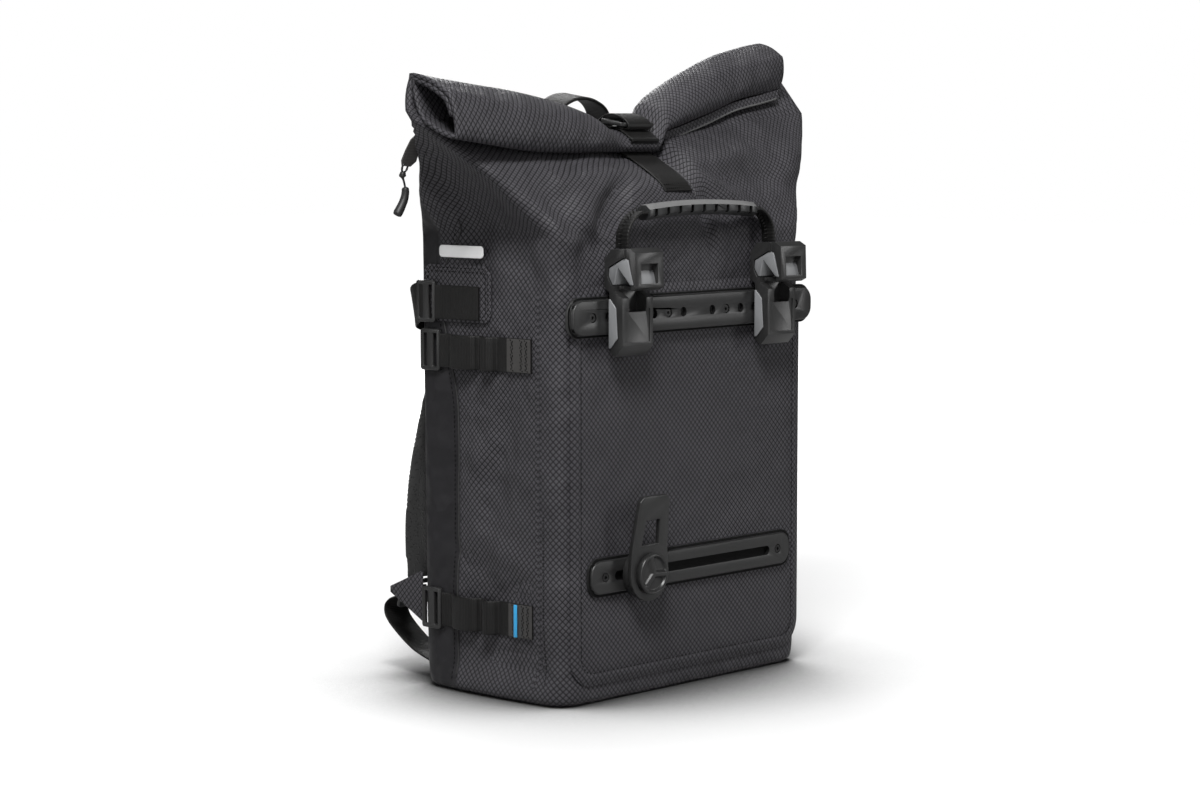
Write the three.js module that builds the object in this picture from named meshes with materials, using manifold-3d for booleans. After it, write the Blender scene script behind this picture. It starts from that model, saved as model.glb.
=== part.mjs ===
import * as THREE from 'three';
import { mergeVertices } from 'three/addons/utils/BufferGeometryUtils.js';
import Module from 'manifold-3d';

const wasm = await Module();
wasm.setup();

// Bicycle messenger backpack, in millimetres. +Z is up, -Y is the face with the rack hooks,
// +Y is the wearer's side, and the origin is the middle of the base on the ground.

// Bag
const bagWidth = 273;
const bagDepth = 151;
const wall = 1.4;
const sleeveGap = 0.8;
const flatWidth = 436;
const shoulderHeight = 295;
const neckHeight = 403;
const seatGap = 0.3;

// Roll-top
const rollDepth = 72;
const rollHeight = 40;
const rollClimb = 50;
const rollTurns = 1.58;
const rollPitch = 4.3;
const rollStepDeg = 30;

// Front panel
const panelThick = 2;
const panelWidth = 258;
const panelBottom = 14;
const panelTop = 305;
const panelCorner = 22;

// Upper rail with its row of holes
const upperRailHeight = 283;
const upperRailLength = 273;
const upperRailTall = 29.4;
const railThick = 6.2;
const railStep = 2.4;
const railLip = 2;
const railCornerShare = 0.38;
const railBevel = 0.8;
const holePitch = 16.3;
const holesPerSide = 7;
const holeRadius = 3.5;
const screwHeadRadius = 3;
const screwHeadTall = 2.2;
const socketShare = 0.45;
const upperScrewSteps = [-7, -2, 2, 7];

// Rack hooks
const hookSteps = 5;
const hookWide = 33;
const hookHeadWide = 30;
const hookTall = 78;
const hookOut = 25;
const hookBelowRail = 28.5;
const insertThick = 1.2;
const latchWide = 18;
const latchLong = 13.6;
const latchThick = 3.4;
const trunnionRadius = 1.5;
const runningGap = 0.35;
const jointSink = 0.4;
const latchOut = 0.24;
const latchUp = 0.632;
const windowWide = 0.6;
const windowLow = 0.675;
const windowHigh = 0.86;
const recessWide = 0.8;
const recessLow = 0.13;
const recessHigh = 0.44;
const recessDeep = 0.8;

// Carry handle
const gripLength = 121;
const gripHeight = 360;
const gripDeep = 13;
const gripTall = 11;
const gripArch = 3;
const gripSlots = 9;
const gripSlotWide = 3;
const gripSlotSpan = 0.88;
const gripSlotDeep = 0.32;
const gripOut = 12.7;
const gripWebWide = 12;
const gripWebThick = 2.2;

// Lower rail with its slot
const lowerRailHeight = 93.4;
const lowerRailLength = 229;
const lowerRailTall = 28.5;
const lowerRailThick = 3.6;
const slotLength = 176;
const slotWide = 7;
const slotDepth = 3.2;
const lowerScrewX = 98;

// Sliding lower hook
const knobX = -62;
const knobRadius = 15.2;
const knobDeep = 5.2;
const knobCrown = 0.3;
const knobTaper = 0.86;
const hollowReach = 0.6;
const hollowRadius = 0.4;
const hollowDeep = 0.45;
const hollowTurns = [50, 165, 285];
const washerRadius = 18.5;
const washerThick = 6.6;
const studRadius = 4.2;
const armThick = 3.7;
const armRise = 58;
const armTopWide = 32;
const armWaist = 20.5;
const armLean = 0.15;
const armBend = 0.33;
const armWindowLow = 0.04;
const armWindowHigh = 0.69;
const armWindowWide = 0.46;
const armWindowFlare = 0.58;

// Webbing
const webThick = 1.6;
const closureWide = 30.5;
const closureSewnEnd = 371;
const buckleTurn = 138;
const buckleRim = 3.5;
const buckleTall = 22;
const buckleLift = 1.4;
const frontTurns = [220, 190, 160];
const rearTurns = [110, 85, 60, 30];
const strapEndTurn = 6;
const leavingSlack = 0.6;
const haulHalf = 37;
const haulWide = 25;
const sideWebWide = 25;
const upperStrapLow = 278;
const middleStrapLow = 242;
const lowerStrapLow = 48;
const loopLift = 8;
const lockRim = 3;
const sideLockLong = 20;
const lockThick = 3.2;
const lockBar = 4;
const lockSideShare = 0.8;
const lockEndShare = 0.75;

// Side trim
const patchFront = -66;
const patchBack = 4.5;
const patchLow = 276;
const patchHigh = 318;
const stripFront = -3;
const stripBack = -49;
const stripLow = 323.5;
const stripHigh = 332.5;
const trimThick = 0.9;
const patchCorner = 8;
const stripCorner = 3;
const tagShare = 0.96;
const tagFront = 0.42;
const tagBack = 0.38;
const tagThick = 1.2;

// Shoulder harness
const shoulderWide = 60;
const shoulderThick = 9;
const harnessWebWide = 25;
const harnessWebX = 108;
const harnessLockTall = 22;
const harnessLockLean = 22;
const harnessLockOff = 0.65;
const harnessLockDrop = 11.2;
const wingX = 131.8;
const wingReach = 35;
const wingThick = 2;

// Zip slider and pull
const sliderWide = 10;
const sliderThick = 5;
const sliderLong = 11;
const pullLong = 42;
const pullWide = 7;
const pullThick = 4;

// Derived places
const halfWidth = bagWidth / 2;
const halfDepth = bagDepth / 2;
const halfFlat = flatWidth / 2;
const sleeveHalf = wall + sleeveGap / 2;
const frontFace = -halfDepth;
const panelFace = frontFace - seatGap - panelThick;
const railFace = panelFace - seatGap - railThick;
const lowerRailFace = panelFace - seatGap - lowerRailThick;

const lerp = (a, b, t) => a + (b - a) * t;
const radians = THREE.MathUtils.degToRad;

// Material of each kind of piece
function plastic(color, roughness = 0.55) {
  return new THREE.MeshStandardMaterial({ color, roughness, metalness: 0 });
}
const shellCloth = plastic(0x2b2c30, 0.5);
const panelCloth = plastic(0x2d2e33, 0.5);
const blackPlastic = plastic(0x17181a, 0.4);
const softBlack = plastic(0x1c1d1f, 0.6);
const greyPlastic = plastic(0x77797d, 0.5);
const webbing = plastic(0x1a1b1d, 0.8);
const reflective = plastic(0xc9cacc, 0.35);
const blueTape = plastic(0x2f9fd6, 0.5);
const steel = new THREE.MeshStandardMaterial({ color: 0x6d6f72, roughness: 0.35, metalness: 1 });

const group = new THREE.Group();

function addPiece(name, geometry, material) {
  const mesh = new THREE.Mesh(geometry, material);
  mesh.name = name;
  group.add(mesh);
  return mesh;
}

// Signed volume tells whether the faces point out
function volumeOf(geometry) {
  const p = geometry.attributes.position;
  const index = geometry.index;
  const [a, b, c] = [new THREE.Vector3(), new THREE.Vector3(), new THREE.Vector3()];
  let sum = 0;
  for (let i = 0; i < index.count; i += 3) {
    a.fromBufferAttribute(p, index.getX(i));
    b.fromBufferAttribute(p, index.getX(i + 1));
    c.fromBufferAttribute(p, index.getX(i + 2));
    sum += a.dot(b.cross(c)) / 6;
  }
  return sum;
}

function flipped(geometry) {
  const order = Array.from(geometry.index.array);
  for (let i = 0; i < order.length; i += 3) {
    [order[i + 1], order[i + 2]] = [order[i + 2], order[i + 1]];
  }
  geometry.setIndex(order);
  return geometry;
}

// A bare closed mesh with shared corners and faces that point out
function closed(geometry) {
  const bare = geometry.clone();
  bare.deleteAttribute('normal');
  bare.deleteAttribute('uv');
  const merged = mergeVertices(bare, 1e-4);
  return volumeOf(merged) < 0 ? flipped(merged) : merged;
}

function toManifold(geometry) {
  const merged = closed(geometry);
  return new wasm.Manifold(new wasm.Mesh({
    numProp: 3,
    vertProperties: new Float32Array(merged.attributes.position.array),
    triVerts: new Uint32Array(merged.index.array),
  }));
}

function fromManifold(body) {
  const mesh = body.getMesh();
  const geometry = new THREE.BufferGeometry();
  geometry.setAttribute('position', new THREE.BufferAttribute(mesh.vertProperties, 3));
  geometry.setIndex(Array.from(mesh.triVerts));
  return geometry;
}

function cut(geometry, tools) {
  let body = toManifold(geometry);
  for (const tool of tools) body = body.subtract(toManifold(tool));
  return fromManifold(body);
}

function join(geometry, others) {
  let body = toManifold(geometry);
  for (const other of others) body = body.add(toManifold(other));
  return fromManifold(body);
}

function mirroredX(geometry) {
  const copy = geometry.clone();
  copy.scale(-1, 1, 1);
  return closed(copy);
}

function meshOf(points, triangles) {
  const geometry = new THREE.BufferGeometry();
  geometry.setAttribute('position', new THREE.Float32BufferAttribute(points.flat(), 3));
  geometry.setIndex(triangles);
  return geometry;
}

// Rings of equal length joined in order, with both ends closed by a fan
function skin(rings) {
  const count = rings[0].length;
  const triangles = [];
  for (let i = 0; i + 1 < rings.length; i += 1) {
    for (let j = 0; j < count; j += 1) {
      const k = (j + 1) % count;
      const [a, b] = [i * count + j, i * count + k];
      const [c, d] = [a + count, b + count];
      triangles.push(a, b, d, a, d, c);
    }
  }
  const last = (rings.length - 1) * count;
  for (let j = 1; j + 1 < count; j += 1) {
    triangles.push(0, j + 1, j);
    triangles.push(last, last + j, last + j + 1);
  }
  return closed(meshOf(rings.flat(), triangles));
}

// Outline in X and Z, thickened towards the front from the plane Y = back
function frontPlate(shape, back, thick, bevel = 0) {
  const geometry = new THREE.ExtrudeGeometry(shape, {
    depth: thick - bevel,
    bevelEnabled: bevel > 0,
    bevelSize: bevel,
    bevelThickness: bevel,
    bevelOffset: -bevel,
    bevelSegments: 1,
    curveSegments: 5,
  });
  geometry.rotateX(Math.PI / 2);
  geometry.translate(0, back, 0);
  return bevel > 0 ? flatBack(geometry, back) : closed(geometry);
}

// The bevel is kept on the front only: the back is cut off flat
function flatBack(geometry, back) {
  const behind = new THREE.BoxGeometry(2 * bagWidth, bagDepth, 2 * neckHeight);
  behind.translate(0, back + bagDepth / 2, neckHeight / 2);
  return cut(geometry, [behind]);
}

// Outline in Y and Z, thickened along X about the plane X = middle
function sidePlate(shape, middle, wide) {
  const geometry = new THREE.ExtrudeGeometry(shape, { depth: wide, bevelEnabled: false, curveSegments: 3 });
  geometry.rotateX(Math.PI / 2);
  geometry.rotateZ(Math.PI / 2);
  geometry.translate(middle - wide / 2, 0, 0);
  return closed(geometry);
}

function roundedRect(left, right, low, high, corner) {
  const shape = new THREE.Shape();
  shape.moveTo(left + corner, low);
  shape.lineTo(right - corner, low);
  shape.absarc(right - corner, low + corner, corner, -Math.PI / 2, 0);
  shape.lineTo(right, high - corner);
  shape.absarc(right - corner, high - corner, corner, 0, Math.PI / 2);
  shape.lineTo(left + corner, high);
  shape.absarc(left + corner, high - corner, corner, Math.PI / 2, Math.PI);
  shape.lineTo(left, low + corner);
  shape.absarc(left + corner, low + corner, corner, Math.PI, Math.PI * 1.5);
  shape.closePath();
  return shape;
}

function polygon(points) {
  return new THREE.Shape(points.map(([x, y]) => new THREE.Vector2(x, y)));
}

// A rod along Y from the plane Y = front to the plane Y = back
function rodY(x, z, radius, front, back, sides = 14) {
  const geometry = new THREE.CylinderGeometry(radius, radius, back - front, sides);
  geometry.translate(x, (front + back) / 2, z);
  return closed(geometry);
}

function rodX(left, right, y, z, radius, sides = 10) {
  const geometry = new THREE.CylinderGeometry(radius, radius, right - left, sides);
  geometry.rotateZ(Math.PI / 2);
  geometry.translate((left + right) / 2, y, z);
  return closed(geometry);
}

function block(low, high) {
  const geometry = new THREE.BoxGeometry(high[0] - low[0], high[1] - low[1], high[2] - low[2]);
  geometry.translate((low[0] + high[0]) / 2, (low[1] + high[1]) / 2, (low[2] + high[2]) / 2);
  return geometry;
}

// Flat band along a run of points: each row has its place, the way across and the way out
function ribbon(rows, wide, thick) {
  const rings = rows.map(({ at, across, out, swell = 1 }) => {
    const middle = new THREE.Vector3(...at);
    const side = new THREE.Vector3(...across).normalize().multiplyScalar(wide / 2);
    const face = new THREE.Vector3(...out).normalize().multiplyScalar(thick * swell / 2);
    const corner = (s, f) => middle.clone().addScaledVector(side, s).addScaledVector(face, f).toArray();
    return [corner(-1, -1), corner(1, -1), corner(1, 1), corner(-1, 1)];
  });
  return skin(rings);
}

// Outline of a band that follows a path of [x, y] points, thickened to both sides
function bandOutline(path, thick) {
  const curve = path.map(([x, y]) => new THREE.Vector2(x, y));
  const sides = [[], []];
  curve.forEach((point, i) => {
    const before = curve[Math.max(i - 1, 0)];
    const after = curve[Math.min(i + 1, curve.length - 1)];
    const along = after.clone().sub(before).normalize();
    const step = new THREE.Vector2(-along.y, along.x).multiplyScalar(thick / 2);
    sides[0].push(point.clone().add(step));
    sides[1].unshift(point.clone().sub(step));
  });
  return new THREE.Shape([...sides[0], ...sides[1]]);
}

// The bag's columns, as shares of the way round from the middle of a side to the middle of the
// front or the back
const sideShares = [0, 0.12, 0.24, 0.345, 0.375, 0.46, 0.58, 0.72, 0.84, 0.91];
const columns = [
  ...sideShares.map((share) => ({ side: -1, share })),
  { side: -1, share: 1 },
  ...[...sideShares].reverse().map((share) => ({ side: 1, share })),
];

// The standing bag, bottom to top: up is the share of the shoulder height, the others are the
// shares of half width and half depth, and bulge the swell of the middle of a side in half
// widths. The foot is rounded.
const standRows = [
  { up: 0.000, wide: 0.950, front: 0.920, back: 0.940, bulge: 0.035 },
  { up: 0.012, wide: 0.975, front: 0.975, back: 0.975, bulge: 0.055 },
  { up: 0.040, wide: 0.985, front: 0.992, back: 0.990, bulge: 0.048 },
  { up: 0.085, wide: 0.990, front: 1.000, back: 1.000, bulge: 0.012 },
  { up: 0.250, wide: 1.000, front: 1.000, back: 1.000, bulge: 0.000 },
  { up: 0.600, wide: 1.000, front: 1.000, back: 1.015, bulge: 0.000 },
  { up: 1.000, wide: 1.000, front: 1.000, back: 1.030, bulge: 0.000 },
];

// From the shoulders to the flat neck: up is the share of that height, flat how far the section
// has gone from the bag's oblong to the flat sleeve, belly the swell of the middle of the front
// and hump that of the back, in half depths
const shoulderRows = [
  { up: 0.36, flat: 0.01, belly: 0.00, hump: 0.00 },
  { up: 0.47, flat: 0.14, belly: 0.07, hump: 0.02 },
  { up: 0.62, flat: 0.36, belly: 0.22, hump: 0.05 },
  { up: 0.76, flat: 0.58, belly: 0.31, hump: 0.06 },
  { up: 0.88, flat: 0.80, belly: 0.25, hump: 0.05 },
  { up: 0.96, flat: 0.94, belly: 0.15, hump: 0.03 },
];

// The roll from the left end to the right: at is the share of half flatWidth, out the share of
// half depth (minus is forward), up the share of rollClimb above neckHeight, long and tall the
// shares of half rollDepth and half rollHeight, tilt the lean of the long way in degrees, start
// the angle where the sleeve meets the roll, sleeve its flat length below as a share of
// rollHeight.
const rollRows = [
  { at: -1.00, out: -0.300, up: 0.60, long: 0.95, tall: 0.92, tilt: 38, start: -60, sleeve: 0.15 },
  { at: -0.65, out: -0.275, up: 0.42, long: 0.88, tall: 0.94, tilt: 38, start: -60, sleeve: 0.15 },
  { at: -0.42, out: -0.250, up: 0.32, long: 0.78, tall: 0.83, tilt: 34, start: -60, sleeve: 0.15 },
  { at: -0.22, out: -0.225, up: 0.22, long: 0.63, tall: 0.65, tilt: 26, start: -60, sleeve: 0.15 },
  { at: -0.09, out: -0.180, up: 0.10, long: 0.50, tall: 0.43, tilt: 14, start: -60, sleeve: 0.15 },
  { at: 0.09, out: -0.180, up: 0.10, long: 0.50, tall: 0.43, tilt: 14, start: -60, sleeve: 0.15 },
  { at: 0.16, out: -0.130, up: 0.43, long: 0.54, tall: 0.57, tilt: 20, start: -65, sleeve: 0.20 },
  { at: 0.31, out: -0.060, up: 0.64, long: 0.60, tall: 0.72, tilt: 28, start: -74, sleeve: 0.32 },
  { at: 0.50, out: 0.000, up: 0.86, long: 0.64, tall: 0.84, tilt: 35, start: -84, sleeve: 0.48 },
  { at: 0.70, out: 0.060, up: 1.08, long: 0.65, tall: 0.89, tilt: 42, start: -92, sleeve: 0.64 },
  { at: 1.00, out: 0.110, up: 1.28, long: 0.65, tall: 0.90, tilt: 48, start: -100, sleeve: 0.78 },
];
const rollLeftEnd = 0.97;
const rollRightEnd = 0.88;

function rollAt(share) {
  const last = rollRows.length - 2;
  let i = 0;
  while (i < last && share > rollRows[i + 1].at) i += 1;
  const [a, b] = [rollRows[i], rollRows[i + 1]];
  const t = THREE.MathUtils.clamp((share - a.at) / (b.at - a.at), 0, 1);
  const mix = (key) => lerp(a[key], b[key], t);
  const tilt = radians(mix('tilt'));
  return {
    y: mix('out') * halfDepth,
    z: neckHeight + mix('up') * rollClimb,
    long: mix('long') * rollDepth / 2,
    tall: mix('tall') * rollHeight / 2,
    start: mix('start'),
    sleeve: mix('sleeve') * rollHeight,
    along: [Math.cos(tilt), Math.sin(tilt)],
    over: [-Math.sin(tilt), Math.cos(tilt)],
  };
}

// Middle of the sleeve after it has turned by some degrees, with its outward unit normal
function rollPoint(share, turned) {
  const roll = rollAt(share);
  const angle = radians(roll.start + turned);
  const shrink = rollPitch * turned / 360;
  const [long, tall] = [roll.long - shrink, roll.tall - shrink];
  const [c, s] = [Math.cos(angle), Math.sin(angle)];
  const ny = tall * c * roll.along[0] + long * s * roll.over[0];
  const nz = tall * c * roll.along[1] + long * s * roll.over[1];
  const size = Math.hypot(ny, nz);
  return {
    y: roll.y + long * c * roll.along[0] + tall * s * roll.over[0],
    z: roll.z + long * c * roll.along[1] + tall * s * roll.over[1],
    ny: ny / size,
    nz: nz / size,
  };
}

// The flat neck lies below the start of the roll, back along the sleeve
function neckPoint(share) {
  const start = rollPoint(share, 0);
  const { sleeve } = rollAt(share);
  return { ...start, y: start.y + start.nz * sleeve, z: start.z - start.ny * sleeve };
}

// Soft hollows in the sides: deep and up are the places as shares of half depth and shoulder
// height, wide and tall the reach as shares of them, sink the depth in half widths
const dents = [
  { side: -1, deep: 0.00, up: 1.27, wide: 0.45, tall: 0.11, sink: 0.080 },
  { side: 1, deep: 0.00, up: 1.27, wide: 0.45, tall: 0.11, sink: 0.080 },
  { side: -1, deep: -0.15, up: 0.085, wide: 0.60, tall: 0.07, sink: 0.030 },
  { side: 1, deep: -0.15, up: 0.085, wide: 0.60, tall: 0.07, sink: 0.030 },
];

function dentedX(x, y, z) {
  let moved = x;
  for (const dent of dents) {
    if (Math.sign(x) !== dent.side || Math.abs(x) < halfWidth * 0.9) continue;
    const across = (y / halfDepth - dent.deep) / dent.wide;
    const high = (z / shoulderHeight - dent.up) / dent.tall;
    moved -= dent.side * dent.sink * halfWidth * Math.exp(-across * across - high * high);
  }
  return moved;
}

// Place of a column on an oblong section: reach is the way from the middle line to the front or
// the back, and the middle of that face swells by swell
function sectionPlace(column, half, reach, swell) {
  const run = column.share * (reach + half);
  const across = Math.min(half, half + reach - run);
  const out = Math.min(reach, Math.max(run, sleeveHalf));
  const crown = column.share > 0 && run > reach ? swell * (1 - (across / half) ** 2) : 0;
  return { x: column.side * across, out: out + crown };
}

// Outer ring of one row of the standing bag: the front layer from left to right, then the back
function standRing(row) {
  const z = row.up * shoulderHeight;
  const layer = (facing, reach) => columns.map((column) => {
    const place = sectionPlace(column, halfWidth * row.wide, halfDepth * reach, 0);
    const y = facing * place.out;
    const swell = row.bulge * halfWidth * Math.max(1 - (y / halfDepth) ** 2, 0);
    return [dentedX(place.x + column.side * swell, y, z), y, z];
  });
  return [...layer(-1, row.front), ...layer(1, row.back).reverse()];
}

function shoulderRing(row) {
  const top = standRows[standRows.length - 1];
  const half = lerp(halfWidth * top.wide, halfFlat, row.flat);
  const layer = (facing, full, swell) => columns.map((column) => {
    const reach = lerp(halfDepth * full, sleeveHalf, row.flat);
    const place = sectionPlace(column, half, reach, swell * halfDepth);
    const neck = neckPoint(column.side * (1 - column.share));
    const y = neck.y * row.flat + facing * place.out;
    const z = lerp(shoulderHeight, neck.z, row.up);
    return [dentedX(place.x, y, z), y, z];
  });
  return [...layer(-1, top.front, row.belly), ...layer(1, top.back, row.hump).reverse()];
}

// Ring of the flat sleeve: the front layer is the inner face of the roll's first lap
function sleeveRing(places, half) {
  const layer = (facing) => places.map(({ x, y, z, ny, nz }) => [
    x,
    y + facing * ny * half,
    z + facing * nz * half,
  ]);
  return [...layer(-1), ...layer(1).reverse()];
}

function neckPlaces(inset) {
  return columns.map(({ side, share }) => {
    const flat = side * (1 - share);
    return { ...neckPoint(flat), x: flat * (halfFlat - inset) };
  });
}

// The roll's ends draw in over the first part of a turn
const drawInDegrees = 60;
function rollPlaces(turned, inset) {
  const drawn = Math.min(turned / drawInDegrees, 1);
  return columns.map(({ side, share }) => {
    const flat = side * (1 - share);
    const end = side < 0 ? rollLeftEnd : rollRightEnd;
    return { ...rollPoint(flat, turned), x: flat * (halfFlat * lerp(1, end, drawn) - inset) };
  });
}

function bagShell() {
  const laps = [];
  const steps = Math.round(rollTurns * 360 / rollStepDeg);
  for (let i = 0; i <= steps; i += 1) laps.push(i * rollStepDeg);
  const body = [...standRows.map(standRing), ...shoulderRows.map(shoulderRing)];
  const outer = [
    ...body,
    sleeveRing(neckPlaces(0), sleeveHalf),
    ...laps.map((turned) => sleeveRing(rollPlaces(turned, 0), sleeveHalf)),
  ];
  const inner = [
    ...insetRings(outer, body.length),
    sleeveRing(neckPlaces(wall), sleeveGap / 2),
    ...laps.map((turned) => sleeveRing(rollPlaces(turned, wall), sleeveGap / 2)),
  ];
  return skin([...outer, ...inner.reverse()]);
}

// The inner face lies one wall inside the outer one, along its normals
function insetRings(rings, count) {
  const inside = [];
  for (let i = 0; i < count; i += 1) {
    const size = rings[i].length;
    inside.push(rings[i].map((point, j) => {
      const around = minus(rings[i][(j + 1) % size], rings[i][(j + size - 1) % size]);
      const along = minus(rings[i + 1][j], rings[Math.max(i - 1, 0)][j]);
      const normal = new THREE.Vector3().crossVectors(around, along).normalize();
      const low = i === 0 ? wall : point[2] - normal.z * wall;
      const flat = Math.hypot(normal.x, normal.y) || 1;
      const shift = i === 0 ? wall / flat : wall;
      return [point[0] - normal.x * shift, point[1] - normal.y * shift, low];
    }));
  }
  return inside;
}

function minus(a, b) {
  return new THREE.Vector3(a[0] - b[0], a[1] - b[1], a[2] - b[2]);
}

addPiece('bag_shell', bagShell(), shellCloth);

// Outer side of the standing bag at one height, as the distance from the middle plane
function sideReach(z) {
  const share = z / shoulderHeight;
  const last = standRows.length - 2;
  let i = 0;
  while (i < last && share > standRows[i + 1].up) i += 1;
  const [a, b] = [standRows[i], standRows[i + 1]];
  const t = THREE.MathUtils.clamp((share - a.up) / (b.up - a.up), 0, 1);
  return halfWidth * lerp(a.wide, b.wide, t);
}

// Stiff front panel
addPiece(
  'front_panel',
  frontPlate(
    roundedRect(-panelWidth / 2, panelWidth / 2, panelBottom, panelTop, panelCorner),
    frontFace - seatGap,
    panelThick,
  ),
  panelCloth,
);

// Rails: a stepped bar on the panel
function railBar(length, tall, height, thick) {
  const halfLong = length / 2;
  const halfTall = tall / 2;
  const corner = tall * railCornerShare;
  const foot = frontPlate(
    roundedRect(-halfLong, halfLong, height - halfTall, height + halfTall, corner),
    panelFace - seatGap,
    Math.min(railStep, thick / 2),
  );
  const face = frontPlate(
    roundedRect(
      -halfLong + railLip,
      halfLong - railLip,
      height - halfTall + railLip,
      height + halfTall - railLip,
      corner - railLip / 2,
    ),
    panelFace - seatGap,
    thick,
    railBevel,
  );
  return join(foot, [face]);
}

function upperRail() {
  const bar = railBar(upperRailLength, upperRailTall, upperRailHeight, railThick);
  const holes = [];
  for (let i = 1; i <= holesPerSide; i += 1) {
    for (const side of [-1, 1]) {
      holes.push(rodY(
        side * i * holePitch, upperRailHeight, holeRadius, railFace - 1, railFace + screwHeadTall + 1, 12,
      ));
    }
  }
  return cut(bar, holes);
}
addPiece('upper_rail', upperRail(), blackPlastic);

// Screw heads sit at the bottom of their holes
function screwHead(x, z, floor) {
  const head = rodY(x, z, screwHeadRadius, floor - screwHeadTall, floor, 12);
  const socket = rodY(x, z, screwHeadRadius * socketShare, floor - screwHeadTall - 1, floor - screwHeadTall / 2, 6);
  return cut(head, [socket]);
}
upperScrewSteps.forEach((step, i) => {
  const floor = railFace + screwHeadTall + 1 - seatGap;
  addPiece(`upper_rail_screw_${i + 1}`, screwHead(step * holePitch, upperRailHeight, floor), steel);
});

function lowerRail() {
  const bar = railBar(lowerRailLength, lowerRailTall, lowerRailHeight, lowerRailThick);
  const slot = frontPlate(
    roundedRect(
      -slotLength / 2,
      slotLength / 2,
      lowerRailHeight - slotWide / 2,
      lowerRailHeight + slotWide / 2,
      slotWide / 2 - 0.01,
    ),
    lowerRailFace + slotDepth,
    slotDepth + 1,
  );
  const seats = [-1, 1].map((side) => rodY(
    side * lowerScrewX, lowerRailHeight, holeRadius, lowerRailFace - 1, lowerRailFace + screwHeadTall + seatGap, 12,
  ));
  return cut(bar, [slot, ...seats]);
}
addPiece('lower_rail', lowerRail(), blackPlastic);
[-1, 1].forEach((side, i) => {
  const floor = lowerRailFace + screwHeadTall;
  addPiece(`lower_rail_screw_${i + 1}`, screwHead(side * lowerScrewX, lowerRailHeight, floor), steel);
});

// Rack hook seen from the side: out is the share of hookOut from the rail's face, up the share of
// hookTall from the hook's foot. A minus lies behind the rail's face, above the rail.
const hookOutline = [
  { out: 0.02, up: 0.050 },
  { out: 0.26, up: 0.000 },
  { out: 0.53, up: 0.095 },
  { out: 0.53, up: 0.545 },
  { out: 0.30, up: 0.590 },
  { out: 0.25, up: 0.640 },
  { out: 0.78, up: 0.655 },
  { out: 0.80, up: 0.610 },
  { out: 1.00, up: 0.640 },
  { out: 0.97, up: 0.960 },
  { out: 0.74, up: 1.000 },
  { out: 0.10, up: 0.990 },
  { out: -0.16, up: 0.900 },
  { out: -0.18, up: 0.640 },
  { out: 0.02, up: 0.590 },
];

// Grey liner of the hook's mouth, an inverted V
const linerOutline = [
  { out: 0.10, up: 0.660 },
  { out: 0.19, up: 0.662 },
  { out: 0.30, up: 0.825 },
  { out: 0.78, up: 0.665 },
  { out: 0.90, up: 0.665 },
  { out: 0.70, up: 0.895 },
  { out: 0.54, up: 0.910 },
  { out: -0.02, up: 0.820 },
  { out: -0.05, up: 0.740 },
];

// Hook mouth below the liner, with the way in from below
const mouthOutline = [
  { out: 0.185, up: 0.600 },
  { out: 0.185, up: 0.660 },
  { out: 0.30, up: 0.830 },
  { out: 0.80, up: 0.660 },
  { out: 0.82, up: 0.540 },
  { out: 0.54, up: 0.540 },
];

// Grey side insert on the lower half
const insertOutline = [
  { out: 0.04, up: 0.075 },
  { out: 0.12, up: 0.078 },
  { out: 0.38, up: 0.170 },
  { out: 0.32, up: 0.450 },
  { out: 0.10, up: 0.530 },
  { out: 0.04, up: 0.530 },
];

const hookFoot = upperRailHeight - hookBelowRail;
const hookY = (out) => railFace - seatGap - out * hookOut;
const hookZ = (up) => hookFoot + up * hookTall;
const hookPoints = (rows) => rows.map(({ out, up }) => [hookY(out), hookZ(up)]);

const latchY = hookY(latchOut);
const latchZ = hookZ(latchUp);

function hookBody(x) {
  const body = sidePlate(polygon(hookPoints(hookOutline)), x, hookWide);
  const cheek = (hookWide - hookHeadWide) / 2;
  const tools = [
    sidePlate(polygon(grown(hookPoints(linerOutline), seatGap)), x, hookWide + 2),
    sidePlate(polygon(hookPoints(mouthOutline)), x, hookWide + 2),
    // narrower head
    block([x - hookWide, hookY(1.1), hookZ(0.6)], [x - hookWide / 2 + cheek, hookY(0.6), hookZ(1.1)]),
    block([x + hookWide / 2 - cheek, hookY(1.1), hookZ(0.6)], [x + hookWide, hookY(0.6), hookZ(1.1)]),
    // window in the head
    block(
      [x - hookHeadWide * windowWide / 2, hookY(1.1), hookZ(windowLow)],
      [x + hookHeadWide * windowWide / 2, hookY(0.80), hookZ(windowHigh)],
    ),
    // shallow recess of the lower face
    block(
      [x - hookWide * recessWide / 2, hookY(0.6), hookZ(recessLow)],
      [x + hookWide * recessWide / 2, hookY(0.53) + recessDeep, hookZ(recessHigh)],
    ),
    // room for the latch
    block(
      [x - latchWide / 2 - runningGap, hookY(0.7), hookZ(0.41)],
      [x + latchWide / 2 + runningGap, latchY + latchThick / 2 + runningGap + jointSink, hookZ(0.70)],
    ),
    rodX(x - latchWide / 2 - 3, x + latchWide / 2 + 3, latchY, latchZ, trunnionRadius + runningGap, 12),
  ];
  return cut(body, tools);
}

// Outline moved outwards from its own middle by a fixed distance
function grown(points, distance) {
  const turned = signedArea(points) < 0 ? [...points].reverse() : points;
  const count = turned.length;
  return turned.map(([x, y], i) => {
    const before = turned[(i + count - 1) % count];
    const after = turned[(i + 1) % count];
    const a = new THREE.Vector2(x - before[0], y - before[1]).normalize();
    const b = new THREE.Vector2(after[0] - x, after[1] - y).normalize();
    const bisector = new THREE.Vector2(a.y + b.y, -a.x - b.x);
    const reach = distance / Math.max(bisector.lengthSq() / 2, 0.5);
    return [x + bisector.x * reach, y + bisector.y * reach];
  });
}

function signedArea(points) {
  return points.reduce((sum, [x, y], i) => {
    const [nx, ny] = points[(i + 1) % points.length];
    return sum + (x * ny - nx * y) / 2;
  }, 0);
}

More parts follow.
